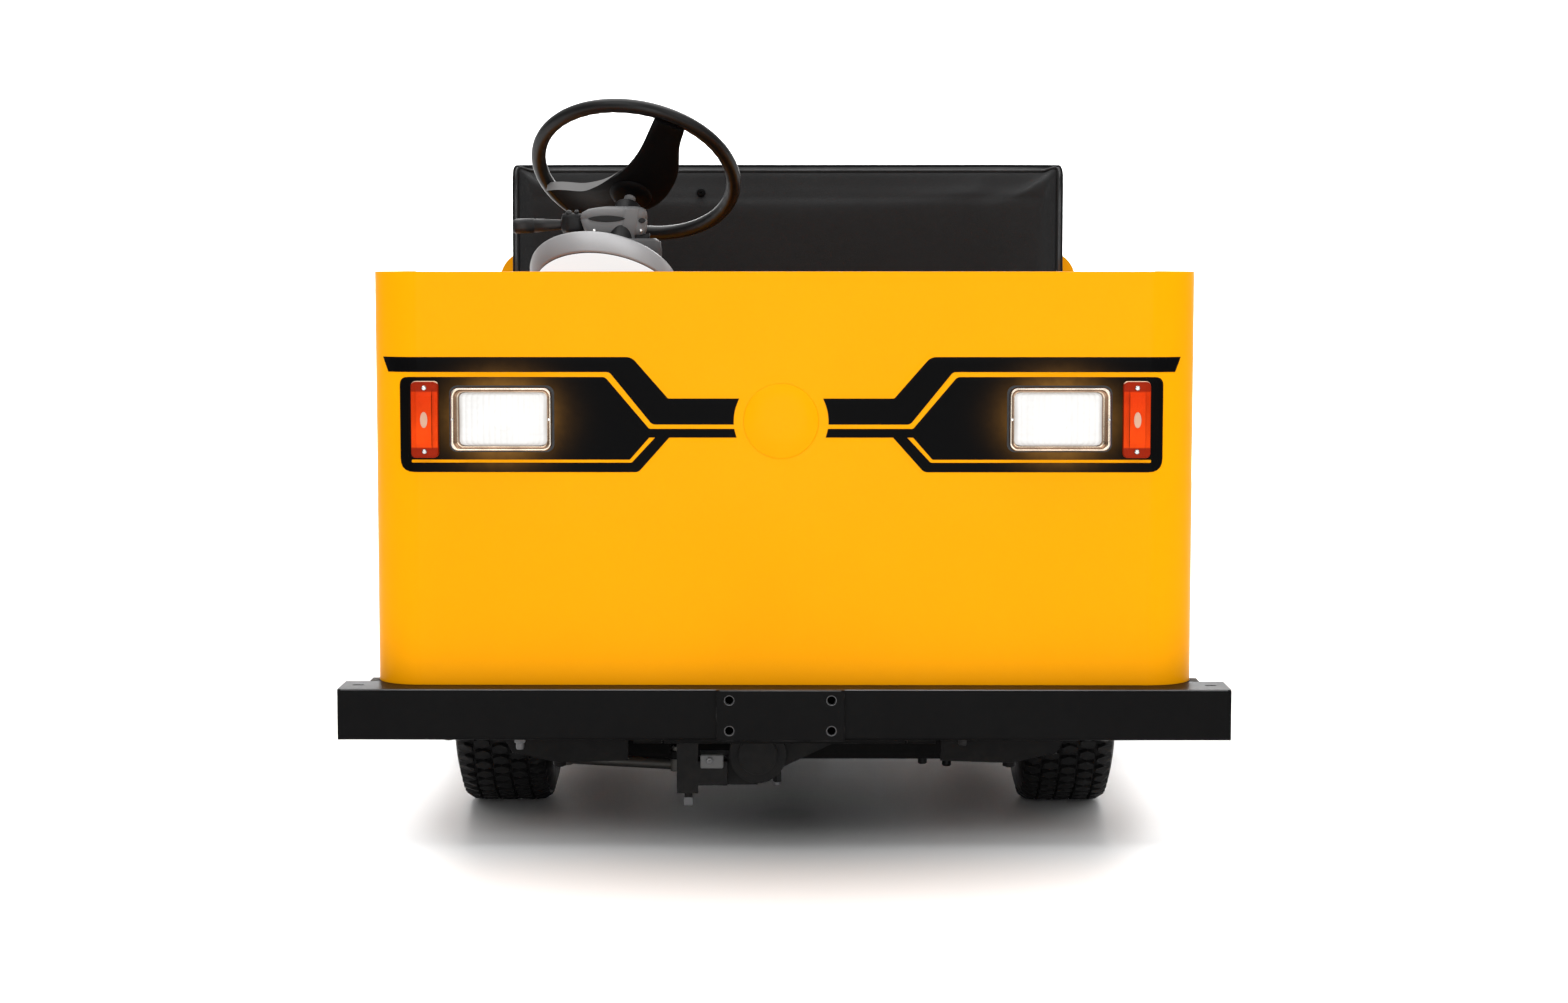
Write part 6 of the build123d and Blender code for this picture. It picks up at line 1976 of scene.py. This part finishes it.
# %% [markdown]
# ## Wheel nuts and hub caps
#
# Each wheel has five conical nuts on its studs, a black domed cap over the hub and a rubber valve by the
# rim. They are made for a left wheel, and turned half round for the truck's right side.

# %% Wheel trim
DISC_FACE, HUB_FACE = 0.041, 0.055
STUD_CIRCLE, NUT_R, NUT_COUNT = 0.057, 0.0115, 5
CAP_R = 0.041
VALVE_CIRCLE, VALVE_TURN = 0.126, 0.63


def turned_on_x(name, profile, y, z, sides, finish, turn=0.0):
    """A body turned about a line along X at a place (y, z): profile is (radius, distance out)."""
    rings = []
    for r, x in profile:
        rings.append([(x, y + a, z + b) for a, b in circle(r, sides, turn)])
    return paint(ring_loft(name, rings, shade_smooth=sides > 6), finish)


def wheel_trim(name):
    """The nuts, cap and valve of a left wheel about its centre."""
    parts = [turned_on_x("hub_cap", (
        (CAP_R, HUB_FACE - 0.001), (CAP_R, HUB_FACE + 0.0020), (CAP_R - 0.003, HUB_FACE + 0.0035),
        (CAP_R * 0.6, HUB_FACE + 0.0060), (CAP_R * 0.2, HUB_FACE + 0.0068),
    ), 0, 0, 40, "column_black")]
    for i, (y, z) in enumerate(circle(STUD_CIRCLE, NUT_COUNT)):
        turn = math.tau * i / NUT_COUNT
        parts.append(turned_on_x("wheel_nut", (
            (NUT_R, DISC_FACE - 0.001), (NUT_R, DISC_FACE + 0.0095), (NUT_R * 0.82, DISC_FACE + 0.0120),
        ), y, z, 6, "zinc_steel", turn))
    y, z = VALVE_CIRCLE * math.cos(VALVE_TURN), VALVE_CIRCLE * math.sin(VALVE_TURN)
    parts.append(turned_on_x("valve", (
        (0.0055, DISC_FACE - 0.002), (0.0050, DISC_FACE + 0.006), (0.0036, DISC_FACE + 0.010),
        (0.0036, DISC_FACE + 0.019), (0.0028, DISC_FACE + 0.0200),
    ), y, z, 12, "column_black"))
    return join(name, parts)


for wheel_name in WHEELS:
    trim = wheel_trim(wheel_name + "_nuts")
    trim.data.transform(at_wheel(wheel_name))
    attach(trim, wheel_name + "_wheel")
print("nuts and caps on", len(WHEELS), "wheels")

import json
